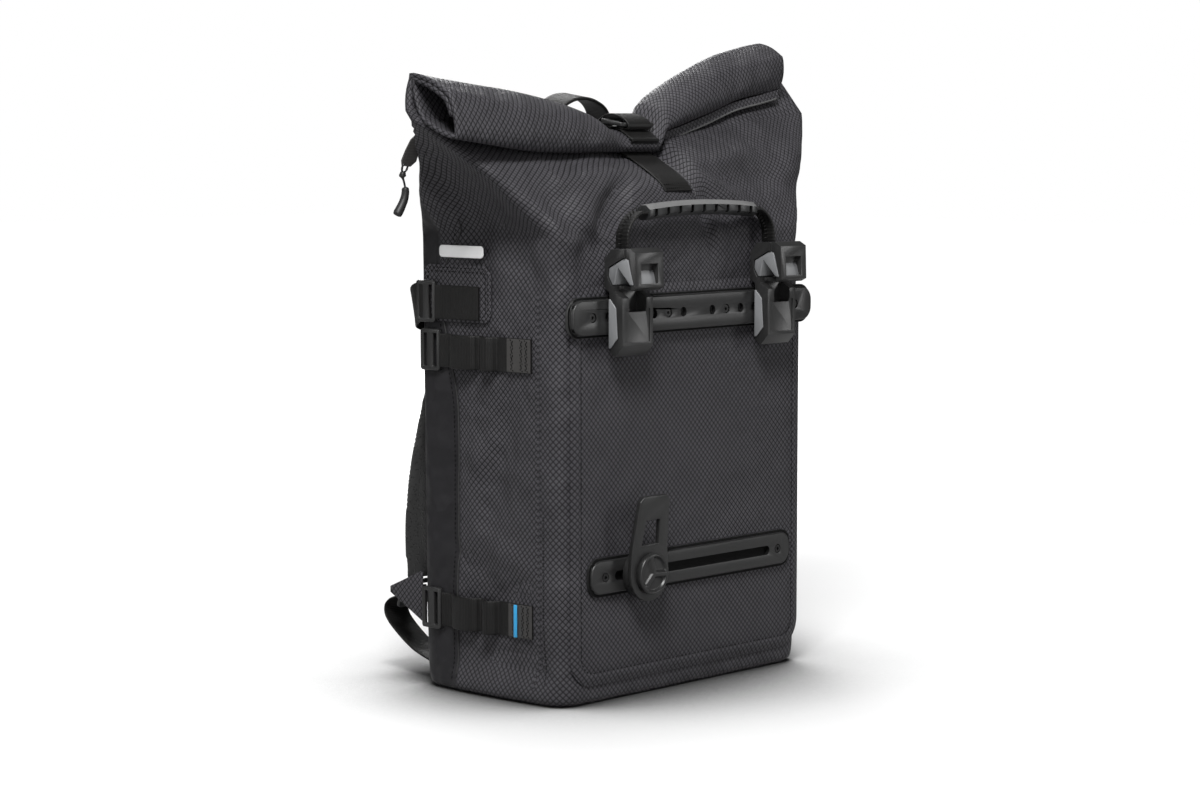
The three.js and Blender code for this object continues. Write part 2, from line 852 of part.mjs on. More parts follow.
function hookLiner(x) {
  return sidePlate(polygon(hookPoints(linerOutline)), x, hookHeadWide + 1);
}

// The latch closes the mouth from below and turns on two trunnions
function hookLatch(x) {
  const blade = sidePlate(
    polygon([
      [latchY + latchThick / 2, latchZ - latchThick / 2],
      [latchY + latchThick / 2, latchZ + latchThick / 2],
      [latchY - latchLong * 0.45, latchZ + latchThick / 2],
      [latchY - latchLong, latchZ],
      [latchY - latchLong * 0.8, latchZ - latchThick / 2],
    ]),
    x,
    latchWide,
  );
  return join(blade, [rodX(
    x - latchWide / 2 - 2.6, x + latchWide / 2 + 2.6, latchY, latchZ, trunnionRadius, 12,
  )]);
}

function hookInsert(x, side) {
  const middle = x + side * (hookWide / 2 + seatGap + insertThick / 2);
  return sidePlate(polygon(hookPoints(insertOutline)), middle, insertThick);
}

const hookPlaces = { left: -hookSteps * holePitch, right: hookSteps * holePitch };
for (const [name, x] of Object.entries(hookPlaces)) {
  addPiece(`hook_${name}_body`, hookBody(x), blackPlastic);
  addPiece(`hook_${name}_liner`, hookLiner(x), greyPlastic);
  addPiece(`hook_${name}_latch`, hookLatch(x), softBlack);
  addPiece(`hook_${name}_insert_left`, hookInsert(x, -1), greyPlastic);
  addPiece(`hook_${name}_insert_right`, hookInsert(x, 1), greyPlastic);
}

// Carry handle: an arched grip with slots
const gripY = panelFace - gripOut + gripDeep / 2;
const gripArc = (x) => gripHeight - gripArch * (2 * x / gripLength) ** 2;

function handleGrip() {
  const steps = 10;
  const rings = [];
  for (let i = 0; i <= steps; i += 1) {
    const x = lerp(-gripLength / 2, gripLength / 2, i / steps);
    const ring = [];
    for (let k = 0; k < 8; k += 1) {
      const angle = (k + 0.5) * Math.PI / 4;
      const reach = 1 / Math.cos(Math.PI / 8);
      ring.push([
        x,
        gripY + Math.cos(angle) * reach * gripDeep / 2,
        gripArc(x) + Math.sin(angle) * reach * gripTall / 2,
      ]);
    }
    rings.push(ring);
  }
  const slots = [];
  for (let i = 0; i < gripSlots; i += 1) {
    const x = (i / (gripSlots - 1) - 0.5) * gripSlotSpan * gripLength;
    slots.push(block(
      [x - gripSlotWide / 2, gripY - gripDeep, gripArc(x) - gripTall * gripSlotDeep],
      [x + gripSlotWide / 2, gripY - gripDeep * gripSlotDeep, gripArc(x) + gripTall * 0.2],
    ));
  }
  return cut(skin(rings), slots);
}
addPiece('handle_grip', handleGrip(), greyPlastic);

// Webbing from each end of the grip down to its hook
function handleWeb(side) {
  const endX = gripLength / 2 + seatGap;
  const hookX = hookSteps * holePitch;
  const top = gripArc(gripLength / 2);
  const foot = hookZ(0.992) + seatGap;
  const run = [
    { x: endX, z: top },
    { x: lerp(endX, hookX, 0.35), z: top },
    { x: lerp(endX, hookX, 0.75), z: lerp(foot, top, 0.78) },
    { x: lerp(endX, hookX, 1.00), z: lerp(foot, top, 0.45) },
    { x: lerp(endX, hookX, 1.05), z: foot },
  ];
  const rows = run.map(({ x, z }, i) => {
    const before = run[Math.max(i - 1, 0)];
    const after = run[Math.min(i + 1, run.length - 1)];
    const last = i === run.length - 1;
    const out = last ? [side, 0, 0] : [side * (before.z - after.z), 0, after.x - before.x];
    return { at: [side * x, gripY + 0.5, z], across: [0, 1, 0], out };
  });
  return ribbon(rows, gripWebWide, gripWebThick);
}
addPiece('handle_webbing_left', handleWeb(-1), webbing);
addPiece('handle_webbing_right', handleWeb(1), webbing);

// Lower hook: a slider with a washer and stud, the arm and the knob
const washerFront = lowerRailFace - seatGap - washerThick;
const armBack = washerFront - seatGap;
const armFront = armBack - armThick;
const knobBack = armFront - seatGap;
const studEnd = knobBack - knobDeep * knobCrown;

function slider() {
  const washer = rodY(knobX, lowerRailHeight, washerRadius, washerFront, lowerRailFace - seatGap, 24);
  const foot = block(
    [knobX - slotWide, lowerRailFace - seatGap - jointSink, lowerRailHeight - slotWide / 2 + runningGap],
    [knobX + slotWide, lowerRailFace + slotDepth - seatGap, lowerRailHeight + slotWide / 2 - runningGap],
  );
  const stud = rodY(knobX, lowerRailHeight, studRadius, studEnd, washerFront + jointSink, 16);
  return join(washer, [foot, stud]);
}
addPiece('lower_hook_slider', slider(), softBlack);

// Above the bend the arm leans forward
function lowerArm() {
  const z = lowerRailHeight;
  const bend = z + armRise * armBend;
  const top = z + armRise;
  const halfTop = armTopWide / 2;
  const halfBend = lerp(armWaist, halfTop, armBend);
  const chamfer = armTopWide * 0.12;
  const foot = new THREE.Shape();
  foot.moveTo(knobX + armWaist, z);
  foot.lineTo(knobX + halfBend, bend);
  foot.lineTo(knobX - halfBend, bend);
  foot.lineTo(knobX - armWaist, z);
  foot.absarc(knobX, z, armWaist, Math.PI, 2 * Math.PI);
  const bore = new THREE.Path();
  bore.absarc(knobX, z, studRadius + runningGap, 0, 2 * Math.PI);
  foot.holes.push(bore);
  const blade = polygon([
    [knobX + halfBend, bend],
    [knobX + halfTop, top - chamfer],
    [knobX + halfTop - chamfer, top],
    [knobX - halfTop + chamfer, top],
    [knobX - halfTop, top - chamfer],
    [knobX - halfBend, bend],
  ]);
  blade.holes.push(polygon([
    [knobX - halfTop * armWindowWide, z + armRise * armWindowHigh],
    [knobX + halfTop * armWindowWide, z + armRise * armWindowHigh],
    [knobX + halfTop * armWindowFlare, bend + armRise * armWindowLow],
    [knobX - halfTop * armWindowFlare, bend + armRise * armWindowLow],
  ]));
  const leaning = frontPlate(blade, armBack, armThick);
  const place = leaning.attributes.position;
  for (let i = 0; i < place.count; i += 1) {
    place.setY(i, place.getY(i) - armLean * (place.getZ(i) - bend));
  }
  return join(frontPlate(foot, armBack, armThick), [leaning]);
}
addPiece('lower_hook_arm', lowerArm(), blackPlastic);

// Clamping knob: a disc with a narrower crown, three finger hollows and a blind bore
function knob() {
  const z = lowerRailHeight;
  const front = knobBack - knobDeep;
  const crownDeep = knobDeep * knobCrown;
  const rim = rodY(knobX, z, knobRadius, front + crownDeep, knobBack, 20);
  const crown = new THREE.CylinderGeometry(knobRadius, knobRadius * knobTaper, crownDeep, 20);
  crown.translate(knobX, front + crownDeep / 2, z);
  const hollows = hollowTurns.map((degrees) => {
    const ball = new THREE.SphereGeometry(knobRadius * hollowRadius, 10, 7);
    ball.scale(1, hollowDeep, 1);
    ball.translate(
      knobX + Math.cos(radians(degrees)) * knobRadius * hollowReach,
      front,
      z + Math.sin(radians(degrees)) * knobRadius * hollowReach,
    );
    return ball;
  });
  const bore = rodY(knobX, z, studRadius + runningGap, studEnd - runningGap, knobBack + 1, 16);
  return cut(join(rim, [crown]), [...hollows, bore]);
}
addPiece('lower_hook_knob', knob(), blackPlastic);

// Closure strap: the front part runs from its sewn end up to the buckle, the rear part from the
// buckle over the roll and down the back
const strapLift = webThick / 2 + seatGap;
const middleColumn = sideShares.length;

function clothLine(facing) {
  return shoulderRows.map((row) => {
    const ring = shoulderRing(row);
    const [, y, z] = facing < 0 ? ring[middleColumn] : ring[ring.length - 1 - middleColumn];
    return [y, z];
  });
}

// Point on a line of the cloth at one height, lifted off it by the strap's seat
function offCloth(line, height, lift) {
  let i = 0;
  while (i < line.length - 2 && line[i + 1][1] < height) i += 1;
  const [a, b] = [line[i], line[i + 1]];
  const t = (height - a[1]) / (b[1] - a[1]);
  const along = new THREE.Vector2(b[0] - a[0], b[1] - a[1]).normalize();
  return [lerp(a[0], b[0], t) - along.y * lift, height + along.x * lift];
}

function overRoll(turned, slack = 0.1) {
  const place = rollPoint(0, turned);
  const lift = sleeveHalf + strapLift + slack;
  return [place.y + place.ny * lift, place.z + place.nz * lift];
}

const frontLine = clothLine(-1);
const backLine = clothLine(1);
const strapFront = [
  offCloth(frontLine, closureSewnEnd, strapLift),
  offCloth(frontLine, frontLine[3][1], strapLift + 0.6),
  offCloth(frontLine, frontLine[4][1], strapLift + 1.4),
  ...frontTurns.map((turned, i) => (i === 0 ? overRoll(turned, leavingSlack) : overRoll(turned))),
  overRoll(buckleTurn + strapEndTurn),
];
const strapRear = [
  overRoll(buckleTurn - strapEndTurn),
  ...rearTurns.map((turned) => overRoll(turned)),
  offCloth(backLine, backLine[5][1], -strapLift - 0.6),
  offCloth(backLine, backLine[4][1], -strapLift - 0.4),
  offCloth(backLine, lerp(backLine[3][1], backLine[4][1], 0.3), -strapLift - 0.2),
];
addPiece('closure_strap_front', sidePlate(bandOutline(strapFront, webThick), 0, closureWide), webbing);
addPiece('closure_strap_rear', sidePlate(bandOutline(strapRear, webThick), 0, closureWide), webbing);

// Buckle plate with two slots, lying on the joint of the two strap parts
function frameBuckle(wide, tall, thick) {
  const shape = roundedRect(-wide / 2, wide / 2, -tall / 2, tall / 2, lockBar / 2);
  for (const side of [-1, 1]) {
    const slot = new THREE.Path();
    const middle = side * tall / 4;
    const halfLong = tall / 4 - lockBar * lockEndShare;
    const halfWide = wide / 2 - lockBar * lockSideShare;
    slot.moveTo(-halfWide, middle - halfLong);
    slot.lineTo(-halfWide, middle + halfLong);
    slot.lineTo(halfWide, middle + halfLong);
    slot.lineTo(halfWide, middle - halfLong);
    slot.closePath();
    shape.holes.push(slot);
  }
  const geometry = new THREE.ExtrudeGeometry(shape, { depth: thick, bevelEnabled: false, curveSegments: 1 });
  geometry.translate(0, 0, -thick / 2);
  return closed(geometry);
}

function closureBuckle() {
  const geometry = frameBuckle(closureWide + 2 * buckleRim, buckleTall, lockThick);
  const place = rollPoint(0, buckleTurn);
  const lift = sleeveHalf + 2 * seatGap + webThick + lockThick / 2 + buckleLift;
  geometry.rotateX(Math.atan2(place.nz, place.ny) - Math.PI / 2);
  geometry.translate(0, place.y + place.ny * lift, place.z + place.nz * lift);
  return geometry;
}
addPiece('closure_buckle', closureBuckle(), blackPlastic);

// Haul loop behind the roll
const haulRun = [
  { x: -1.00, out: 0.72, up: 0.945 },
  { x: -0.98, out: 0.66, up: 0.990 },
  { x: -0.90, out: 0.60, up: 1.036 },
  { x: -0.70, out: 0.58, up: 1.074 },
  { x: -0.38, out: 0.58, up: 1.092 },
  { x: 0.00, out: 0.58, up: 1.098 },
];
function haulLoop() {
  const left = haulRun.map((row) => ({ ...row }));
  const right = haulRun.slice(0, -1).reverse().map((row) => ({ ...row, x: -row.x }));
  const run = [...left, ...right].map(({ x, out, up }) => [x * haulHalf, out * halfDepth, up * neckHeight]);
  const rows = run.map((at, i) => {
    const along = minus(run[Math.min(i + 1, run.length - 1)], run[Math.max(i - 1, 0)]);
    return { at, across: [0, 1, 0.15], out: [-along.z, 0, along.x] };
  });
  return ribbon(rows, haulWide, webThick * 1.6);
}
addPiece('haul_loop', haulLoop(), webbing);

// Outer side of the bag from the foot to the first shoulder row
const sideFace = lerp(halfWidth, halfFlat, shoulderRows[0].flat);

// Side straps. forward is the distance in front of the middle plane, lift how far the band stands
// off the bag, both in shares of half depth and of loopLift.
const strapLoopRows = [
  { forward: 0.60, lift: 0 },
  { forward: 0.19, lift: 0 },
  { forward: 0.14, lift: 0.55 },
  { forward: 0.09, lift: 1 },
  { forward: 0.02, lift: 1 },
  { forward: -0.04, lift: 0.55 },
  { forward: -0.09, lift: 0 },
  { forward: -0.50, lift: 0 },
  { forward: -0.62, lift: 0.30 },
];
const strapPlainRows = [
  { forward: -0.08, lift: 0 },
  { forward: -0.58, lift: 0 },
  { forward: -0.65, lift: 0.35 },
];
const sideStraps = [
  { name: 'upper', low: upperStrapLow, rows: strapPlainRows, seat: 'patch', lock: -0.80 },
  { name: 'middle', low: middleStrapLow, rows: strapLoopRows, seat: 'bag', lock: -0.77 },
  { name: 'lower', low: lowerStrapLow, rows: strapLoopRows, seat: 'bag', lock: -0.77 },
];

function sideSeat(strap) {
  if (strap.seat === 'patch') return sideFace + seatGap + trimThick + seatGap;
  return Math.max(sideReach(strap.low), sideReach(strap.low + sideWebWide)) + seatGap;
}

function leftSideStrap(strap) {
  const seat = sideSeat(strap) + webThick / 2;
  const path = strap.rows.map(({ forward, lift }) => [-seat - lift * loopLift, -forward * halfDepth]);
  const geometry = new THREE.ExtrudeGeometry(bandOutline(path, webThick), {
    depth: sideWebWide,
    bevelEnabled: false,
  });
  geometry.translate(0, 0, strap.low);
  return closed(geometry);
}

function leftSideLock(strap) {
  const geometry = frameBuckle(sideWebWide + 2 * lockRim, sideLockLong, lockThick);
  geometry.rotateX(Math.PI / 2);
  geometry.rotateY(Math.PI / 2);
  geometry.rotateZ(Math.PI / 2);
  geometry.translate(-sideSeat(strap) - lockThick / 2, -strap.lock * halfDepth, strap.low + sideWebWide / 2);
  return geometry;
}

for (const strap of sideStraps) {
  const band = leftSideStrap(strap);
  const lock = leftSideLock(strap);
  addPiece(`side_strap_${strap.name}_left`, band, webbing);
  addPiece(`side_strap_${strap.name}_right`, mirroredX(band), webbing);
  addPiece(`side_lock_${strap.name}_left`, lock, blackPlastic);
  addPiece(`side_lock_${strap.name}_right`, mirroredX(lock), blackPlastic);
}

// Thin plates on the bag's side: a padded patch and a reflective strip
function leftSidePlate(front, back, low, high, corner, thick, reach) {
  const shape = roundedRect(-front, -back, low, high, corner);
  const geometry = sidePlate(shape, 0, thick);
  geometry.translate(-reach - seatGap - thick / 2, 0, 0);
  return geometry;
}
const patch = leftSidePlate(patchBack, patchFront, patchLow, patchHigh, patchCorner, trimThick, sideFace);
const strip = leftSidePlate(stripFront, stripBack, stripLow, stripHigh, stripCorner, trimThick, sideFace);
addPiece('side_patch_left', patch, shellCloth);
addPiece('side_patch_right', mirroredX(patch), shellCloth);
addPiece('reflective_strip_left', strip, reflective);
addPiece('reflective_strip_right', mirroredX(strip), reflective);

// Blue tag folded out from the lower strap's front end
const lowerStrap = sideStraps[2];
const tagTall = sideWebWide * tagShare;
const tag = block(
  [
    -sideSeat(lowerStrap) - webThick - seatGap - tagThick,
    -tagFront * halfDepth,
    lowerStrap.low + (sideWebWide - tagTall) / 2,
  ],
  [
    -sideSeat(lowerStrap) - webThick - seatGap,
    -tagBack * halfDepth,
    lowerStrap.low + (sideWebWide + tagTall) / 2,
  ],
);
addPiece('blue_tag', closed(tag), blueTape);

// Shoulder straps: across is the distance from the middle as a share of half width, off the
// distance behind the bag's back in strap thicknesses, up the share of shoulderHeight
const shoulderRun = [
  { across: 0.36, off: 0.63, up: 1.110, turn: 0.00 },
  { across: 0.41, off: 0.90, up: 1.040, turn: 0.06 },
  { across: 0.50, off: 1.40, up: 0.940, turn: 0.12 },
  { across: 0.60, off: 1.60, up: 0.820, turn: 0.18 },
  { across: 0.68, off: 2.10, up: 0.680, turn: 0.24 },
  { across: 0.72, off: 2.90, up: 0.530, turn: 0.28 },
  { across: 0.73, off: 3.25, up: 0.390, turn: 0.28 },
  { across: 0.73, off: 3.05, up: 0.250, turn: 0.28 },
];
const backReach = (up) => {
  const top = standRows[standRows.length - 1].back;
  return halfDepth * lerp(1, top, THREE.MathUtils.clamp(up, 0, 1));
};

function shoulderStrap(side) {
  const run = shoulderRun.map(({ across, off, up }) => [
    side * across * halfWidth,
    backReach(up) + off * shoulderThick,
    up * shoulderHeight,
  ]);
  const rows = run.map((at, i) => {
    const along = minus(run[Math.min(i + 1, run.length - 1)], run[Math.max(i - 1, 0)]).normalize();
    const across = new THREE.Vector3(side, -shoulderRun[i].turn, 0);
    across.addScaledVector(along, -across.dot(along)).normalize();
    const out = new THREE.Vector3().crossVectors(along, across);
    return { at, across: across.toArray(), out: out.toArray() };
  });
  return ribbon(rows, shoulderWide, shoulderThick);
}

// Ladder lock at the strap's lower end, leaning out at its foot
const strapEnd = shoulderRun[shoulderRun.length - 1];
const harnessLockAt = {
  y: backReach(0) + (strapEnd.off + harnessLockOff) * shoulderThick,
  z: strapEnd.up * shoulderHeight - harnessLockDrop,
};

function harnessLock(side) {
  const geometry = frameBuckle(harnessWebWide + 2 * lockRim, harnessLockTall, lockThick);
  geometry.rotateX(radians(90 + harnessLockLean));
  geometry.translate(side * harnessWebX, harnessLockAt.y, harnessLockAt.z);
  return closed(geometry);
}

// Point outside the lock's plate, some way down its face
function overLock(down) {
  const [c, s] = [Math.cos(radians(harnessLockLean)), Math.sin(radians(harnessLockLean))];
  const out = lockThick / 2 + seatGap + webThick / 2;
  return [harnessLockAt.y + out * c + down * s, harnessLockAt.z + out * s - down * c];
}

// Lower webbing of the harness, from the lock out and back to the bag's foot
const harnessRun = [
  { off: 5.50, up: 0.193 },
  { off: 6.15, up: 0.168 },
  { off: 5.60, up: 0.132 },
  { off: 2.90, up: 0.075 },
  { off: 0.08, up: 0.045 },
];
function harnessWeb(side) {
  const path = harnessRun.map(({ off, up }) => [backReach(0) + off * shoulderThick, up * shoulderHeight]);
  const outline = bandOutline([overLock(-4), overLock(2), ...path], webThick);
  return sidePlate(outline, side * harnessWebX, harnessWebWide);
}

// Triangular cloth wing that anchors the webbing at the bag's foot
function harnessWing(side) {
  const root = backReach(0) + seatGap;
  const shape = polygon([
    [root, shoulderHeight * 0.290],
    [root + wingReach, shoulderHeight * 0.238],
    [root + wingReach, shoulderHeight * 0.222],
    [root, shoulderHeight * 0.160],
  ]);
  return sidePlate(shape, side * wingX, wingThick);
}

for (const [name, side] of [['left', -1], ['right', 1]]) {
  addPiece(`shoulder_strap_${name}`, shoulderStrap(side), softBlack);
  addPiece(`harness_webbing_${name}`, harnessWeb(side), webbing);
  addPiece(`harness_wing_${name}`, harnessWing(side), shellCloth);
  addPiece(`harness_lock_${name}`, harnessLock(side), blackPlastic);
}

// Zip slider standing out of the crease from the back's left corner to the roll, with a moulded
// pull hanging from it
const zipRow = 3;
function creasePoint(row) {
  const ring = shoulderRing(shoulderRows[row]).map((point) => new THREE.Vector3(...point));
  return ring.reduce((best, point) => (point.y - point.x > best.y - best.x ? point : best));
}
const crease = creasePoint(zipRow).sub(creasePoint(zipRow - 1));
const creaseOut = new THREE.Vector3(-1, 1, 0).projectOnPlane(crease.clone().normalize()).normalize();
const sliderFoot = creasePoint(zipRow).addScaledVector(crease, -0.1);

function zipSlider() {
  const out = new THREE.Vector3().crossVectors(crease, creaseOut).toArray();
  const rows = [2 * seatGap, sliderLong].map((reach) => ({
    at: sliderFoot.clone().addScaledVector(creaseOut, reach).toArray(),
    across: crease.toArray(),
    out,
  }));
  return ribbon(rows, sliderWide, sliderThick);
}
addPiece('zip_slider', zipSlider(), blackPlastic);

// Pull from its neck down: down is the share of pullLong, wide the share of pullWide
const pullRows = [
  { down: 0.00, wide: 0.35 },
  { down: 0.25, wide: 0.35 },
  { down: 0.32, wide: 0.80 },
  { down: 0.60, wide: 1.00 },
  { down: 0.92, wide: 0.90 },
  { down: 1.00, wide: 0.55 },
];
function zipPull() {
  const top = sliderFoot.clone().addScaledVector(creaseOut, sliderLong);
  const middle = [top.x, top.y + sliderThick * 0.86, top.z - sliderWide / 2];
  const rings = pullRows.map(({ down, wide }) => {
    const [x, y] = [wide * pullWide / 2, Math.min(wide * 2, 1) * pullThick / 2];
    const z = middle[2] - down * pullLong;
    return [[-x, -y], [x, -y], [x, y], [-x, y]].map(([dx, dy]) => [middle[0] + dx, middle[1] + dy, z]);
  });
  return skin(rings);
}
addPiece('zip_pull', zipPull(), softBlack);

export default group;
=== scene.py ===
import math

import bmesh
import bpy
import numpy as np
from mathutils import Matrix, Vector, noise
from mathutils.bvhtree import BVHTree


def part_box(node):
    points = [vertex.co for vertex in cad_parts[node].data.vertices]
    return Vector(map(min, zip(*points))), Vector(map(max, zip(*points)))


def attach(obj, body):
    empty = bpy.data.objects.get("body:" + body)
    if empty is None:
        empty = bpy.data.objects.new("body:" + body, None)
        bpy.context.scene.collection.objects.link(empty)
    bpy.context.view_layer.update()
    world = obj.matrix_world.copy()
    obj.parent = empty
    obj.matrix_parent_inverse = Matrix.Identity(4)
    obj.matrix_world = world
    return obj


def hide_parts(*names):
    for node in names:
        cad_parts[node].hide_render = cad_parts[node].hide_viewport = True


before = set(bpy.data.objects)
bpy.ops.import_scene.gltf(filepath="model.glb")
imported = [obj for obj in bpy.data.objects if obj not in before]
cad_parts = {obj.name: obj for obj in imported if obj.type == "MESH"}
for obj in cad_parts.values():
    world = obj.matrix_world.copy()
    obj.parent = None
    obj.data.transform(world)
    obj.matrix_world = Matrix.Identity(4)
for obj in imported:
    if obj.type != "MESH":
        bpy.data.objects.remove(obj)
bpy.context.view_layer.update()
print("frame loaded:", len(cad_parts), "nodes")

scene = bpy.context.scene
mm = 0.001
bothSides = (("left", -1), ("right", 1))

# Camera, light and floor
cameraSet = {
    "place": (-1.58958, -1.46691, 0.41855),
    "azimuth": -47.0,
    "lookDown": 5.49,
    "lens": 85.03,
    "sensor": 36.0,
}
lightSet = {
    "worldSeen": 1.0,
    "worldLight": 0.055,
    "floorGlow": 1.0,
    "floorNear": 0.35,
    "floorFar": 1.6,
    "floorLevel": 0.50,
    "floorLift": 0.40,
    "floorBounce": 0.34,
    # how far the floor's painted contact shadow reaches, in metres
    "paintedShadowReach": 0.20,
    # name: place, aim, size, energy
    "lamps": {
        "key_softbox": ((-1.20, -1.0, 1.95), (0.0, 0.0, 0.25), (0.7, 0.6), 64.0),
        "front_softbox": ((1.6, -1.9, 0.9), (0.0, 0.0, 0.25), (0.5, 1.2), 13.0),
        "side_softbox": ((-2.1, 1.3, 0.9), (0.0, 0.0, 0.25), (0.45, 1.2), 8.0),
        "fill_softbox": ((-2.0, -1.9, 0.6), (0.0, 0.0, 0.2), (0.9, 0.9), 9.0),
        "top_softbox": ((0.3, 0.6, 1.9), (0.0, 0.0, 0.3), (1.0, 0.8), 14.0),
        "back_softbox": ((1.5, 2.3, 1.3), (0.0, 0.0, 0.25), (1.1, 1.3), 38.0),
    },
}


def makeCamera():
    data = bpy.data.cameras.new("camera")
    data.lens = cameraSet["lens"]
    data.sensor_width = cameraSet["sensor"]
    data.sensor_fit = "HORIZONTAL"
    data.clip_start, data.clip_end = 0.05, 60.0
    camera = bpy.data.objects.new("camera", data)
    camera.location = cameraSet["place"]
    camera.rotation_euler = (
        math.radians(90 - cameraSet["lookDown"]), 0.0, math.radians(cameraSet["azimuth"]))
    scene.collection.objects.link(camera)
    scene.camera = camera


def makeLamps():
    for name, (place, aim, size, energy) in lightSet["lamps"].items():
        data = bpy.data.lights.new(name, "AREA")
        data.shape = "RECTANGLE"
        data.size, data.size_y = size
        data.energy = energy
        lamp = bpy.data.objects.new(name, data)
        lamp.location = place
        lamp.rotation_mode = "QUATERNION"
        lamp.rotation_quaternion = (Vector(aim) - Vector(place)).to_track_quat("-Z", "Y")
        scene.collection.objects.link(lamp)


def makeWorld():
    world = bpy.data.worlds.new("studio")
    scene.world = world
    world.use_nodes = True
    tree = world.node_tree
    tree.nodes.clear()
    out = tree.nodes.new("ShaderNodeOutputWorld")
    seen = tree.nodes.new("ShaderNodeBackground")
    light = tree.nodes.new("ShaderNodeBackground")
    seen.inputs["Strength"].default_value = lightSet["worldSeen"]
    light.inputs["Strength"].default_value = lightSet["worldLight"]
    for one in (seen, light):
        one.inputs["Color"].default_value = (1.0, 1.0, 1.0, 1.0)
    path = tree.nodes.new("ShaderNodeLightPath")
    mix = tree.nodes.new("ShaderNodeMixShader")
    tree.links.new(path.outputs["Is Camera Ray"], mix.inputs[0])
    tree.links.new(light.outputs[0], mix.inputs[1])
    tree.links.new(seen.outputs[0], mix.inputs[2])
    tree.links.new(mix.outputs[0], out.inputs["Surface"])


# Shader maths
class Value:
    # one output socket of a material's tree, with arithmetic
    def __init__(self, paint, socket):
        self.paint, self.socket = paint, socket

    def math(self, operation, *others):
        return self.paint.math(operation, self, *others)

    def __add__(self, other):
        return self.math("ADD", other)

    def __sub__(self, other):
        return self.math("SUBTRACT", other)

    def __rsub__(self, other):
        return self.paint.math("SUBTRACT", other, self)

    def __mul__(self, other):
        return self.math("MULTIPLY", other)

    def __truediv__(self, other):
        return self.math("DIVIDE", other)

    def __rtruediv__(self, other):
        return self.paint.math("DIVIDE", other, self)

    def __pow__(self, other):
        return self.math("POWER", other)

    __radd__ = __add__
    __rmul__ = __mul__

    def out(self, index):
        # another output of the same node
        return Value(self.paint, self.socket.node.outputs[index])


class Paint:
    # a material being built
    def __init__(self, name):
        self.material = bpy.data.materials.new(name)
        self.material.use_nodes = True
        self.tree = self.material.node_tree
        self.tree.nodes.clear()

    def node(self, kind, settings=None, inputs=None, out=0):
        made = self.tree.nodes.new(kind)
        for key, value in (settings or {}).items():
            if key == "stops":
                self.setRamp(made.color_ramp, value)
            else:
                setattr(made, key, value)
        for key, value in (inputs or {}).items():
            if isinstance(value, Value):
                self.tree.links.new(value.socket, made.inputs[key])
            else:
                made.inputs[key].default_value = value
        return Value(self, made.outputs[out]) if made.outputs else None

    def setRamp(self, ramp, stops):
        while len(ramp.elements) < len(stops):
            ramp.elements.new(0.5)
        for element, (at, level) in zip(ramp.elements, stops):
            element.position = at
            element.color = (level, level, level, 1.0)

    def math(self, operation, *values):
        return self.node("ShaderNodeMath", {"operation": operation}, dict(enumerate(values)))

    def place(self):
        # object coordinates in metres
        return self.node("ShaderNodeTexCoord", None, None, out=3)

    def cloth(self):
        # metres across and along the cloth
        return self.node("ShaderNodeUVMap", {"uv_map": "cloth"})

    def wave(self, vector, way, scale, distortion):
        return self.node("ShaderNodeTexWave", {"bands_direction": way, "wave_profile": "SIN"},
                         {"Vector": vector, "Scale": scale, "Distortion": distortion})

    def noise(self, vector, scale, detail=3.0, rough=0.5, kind="3D"):
        return self.node("ShaderNodeTexNoise", {"noise_dimensions": kind},
                         {"Vector": vector, "Scale": scale, "Detail": detail, "Roughness": rough})

    def blendColour(self, factor, a, b, kind="MIX"):
        return self.node("ShaderNodeMix", {"data_type": "RGBA", "blend_type": kind},
                         {0: factor, 6: a, 7: b}, out=2)

    def step(self, value, low, high):
        # 0 below low, 1 above high, smooth between
        return self.node("ShaderNodeMapRange", {"interpolation_type": "SMOOTHSTEP"},
                         {"Value": value, "From Min": low, "From Max": high})

    def bump(self, height, strength, distance):
        return self.node("ShaderNodeBump", None,
                         {"Height": height, "Strength": strength, "Distance": distance})

    def finish(self, inputs):
        shader = self.node("ShaderNodeBsdfPrincipled", None, inputs)
        self.node("ShaderNodeOutputMaterial", None, {"Surface": shader})
        return self.material


def grey(level, tint=(1.0, 1.0, 1.0)):
    return (level * tint[0], level * tint[1], level * tint[2], 1.0)


coolTint = (1.0, 0.965, 1.07)
warmTint = (1.04, 1.0, 0.97)


# ripstop cloth: a fine diamond grid of dark threads, its cells slightly pillowed
ripstop = {
    "pitch": 3.35 * mm,
    "line": 0.19,
    "cell": 0.064,
    "thread": 0.003,
    "plain": 0.26,
    "rough": 0.42,
    "specular": 0.16,
    "sheen": 0.02,
    "lineRough": 0.22,
    "cloudRough": 0.12,
    "dark": 0.72,           # shares of the cell's level
    "light": 1.25,
    "mottle": 0.86,
    "wander": 0.10,
    "wanderScale": 18.0,
    "weaveScale": 520.0,
    "cloudScale": 9.0,
    "mottleScale": 90.0,
    "bump": 0.9,            # heights below are in millimetres
    "pillow": 3.4,
    "weaveHigh": 0.06,
    "cellHigh": 0.34,
    "waveScale": 26.0,      # waves about 40 mm apart
    "waveHigh": 10.0,
    "creaseScale": 17.0,
    "creaseHigh": 0.7,
    "looseShare": 1.0,
    "tautShare": 0.45,
}


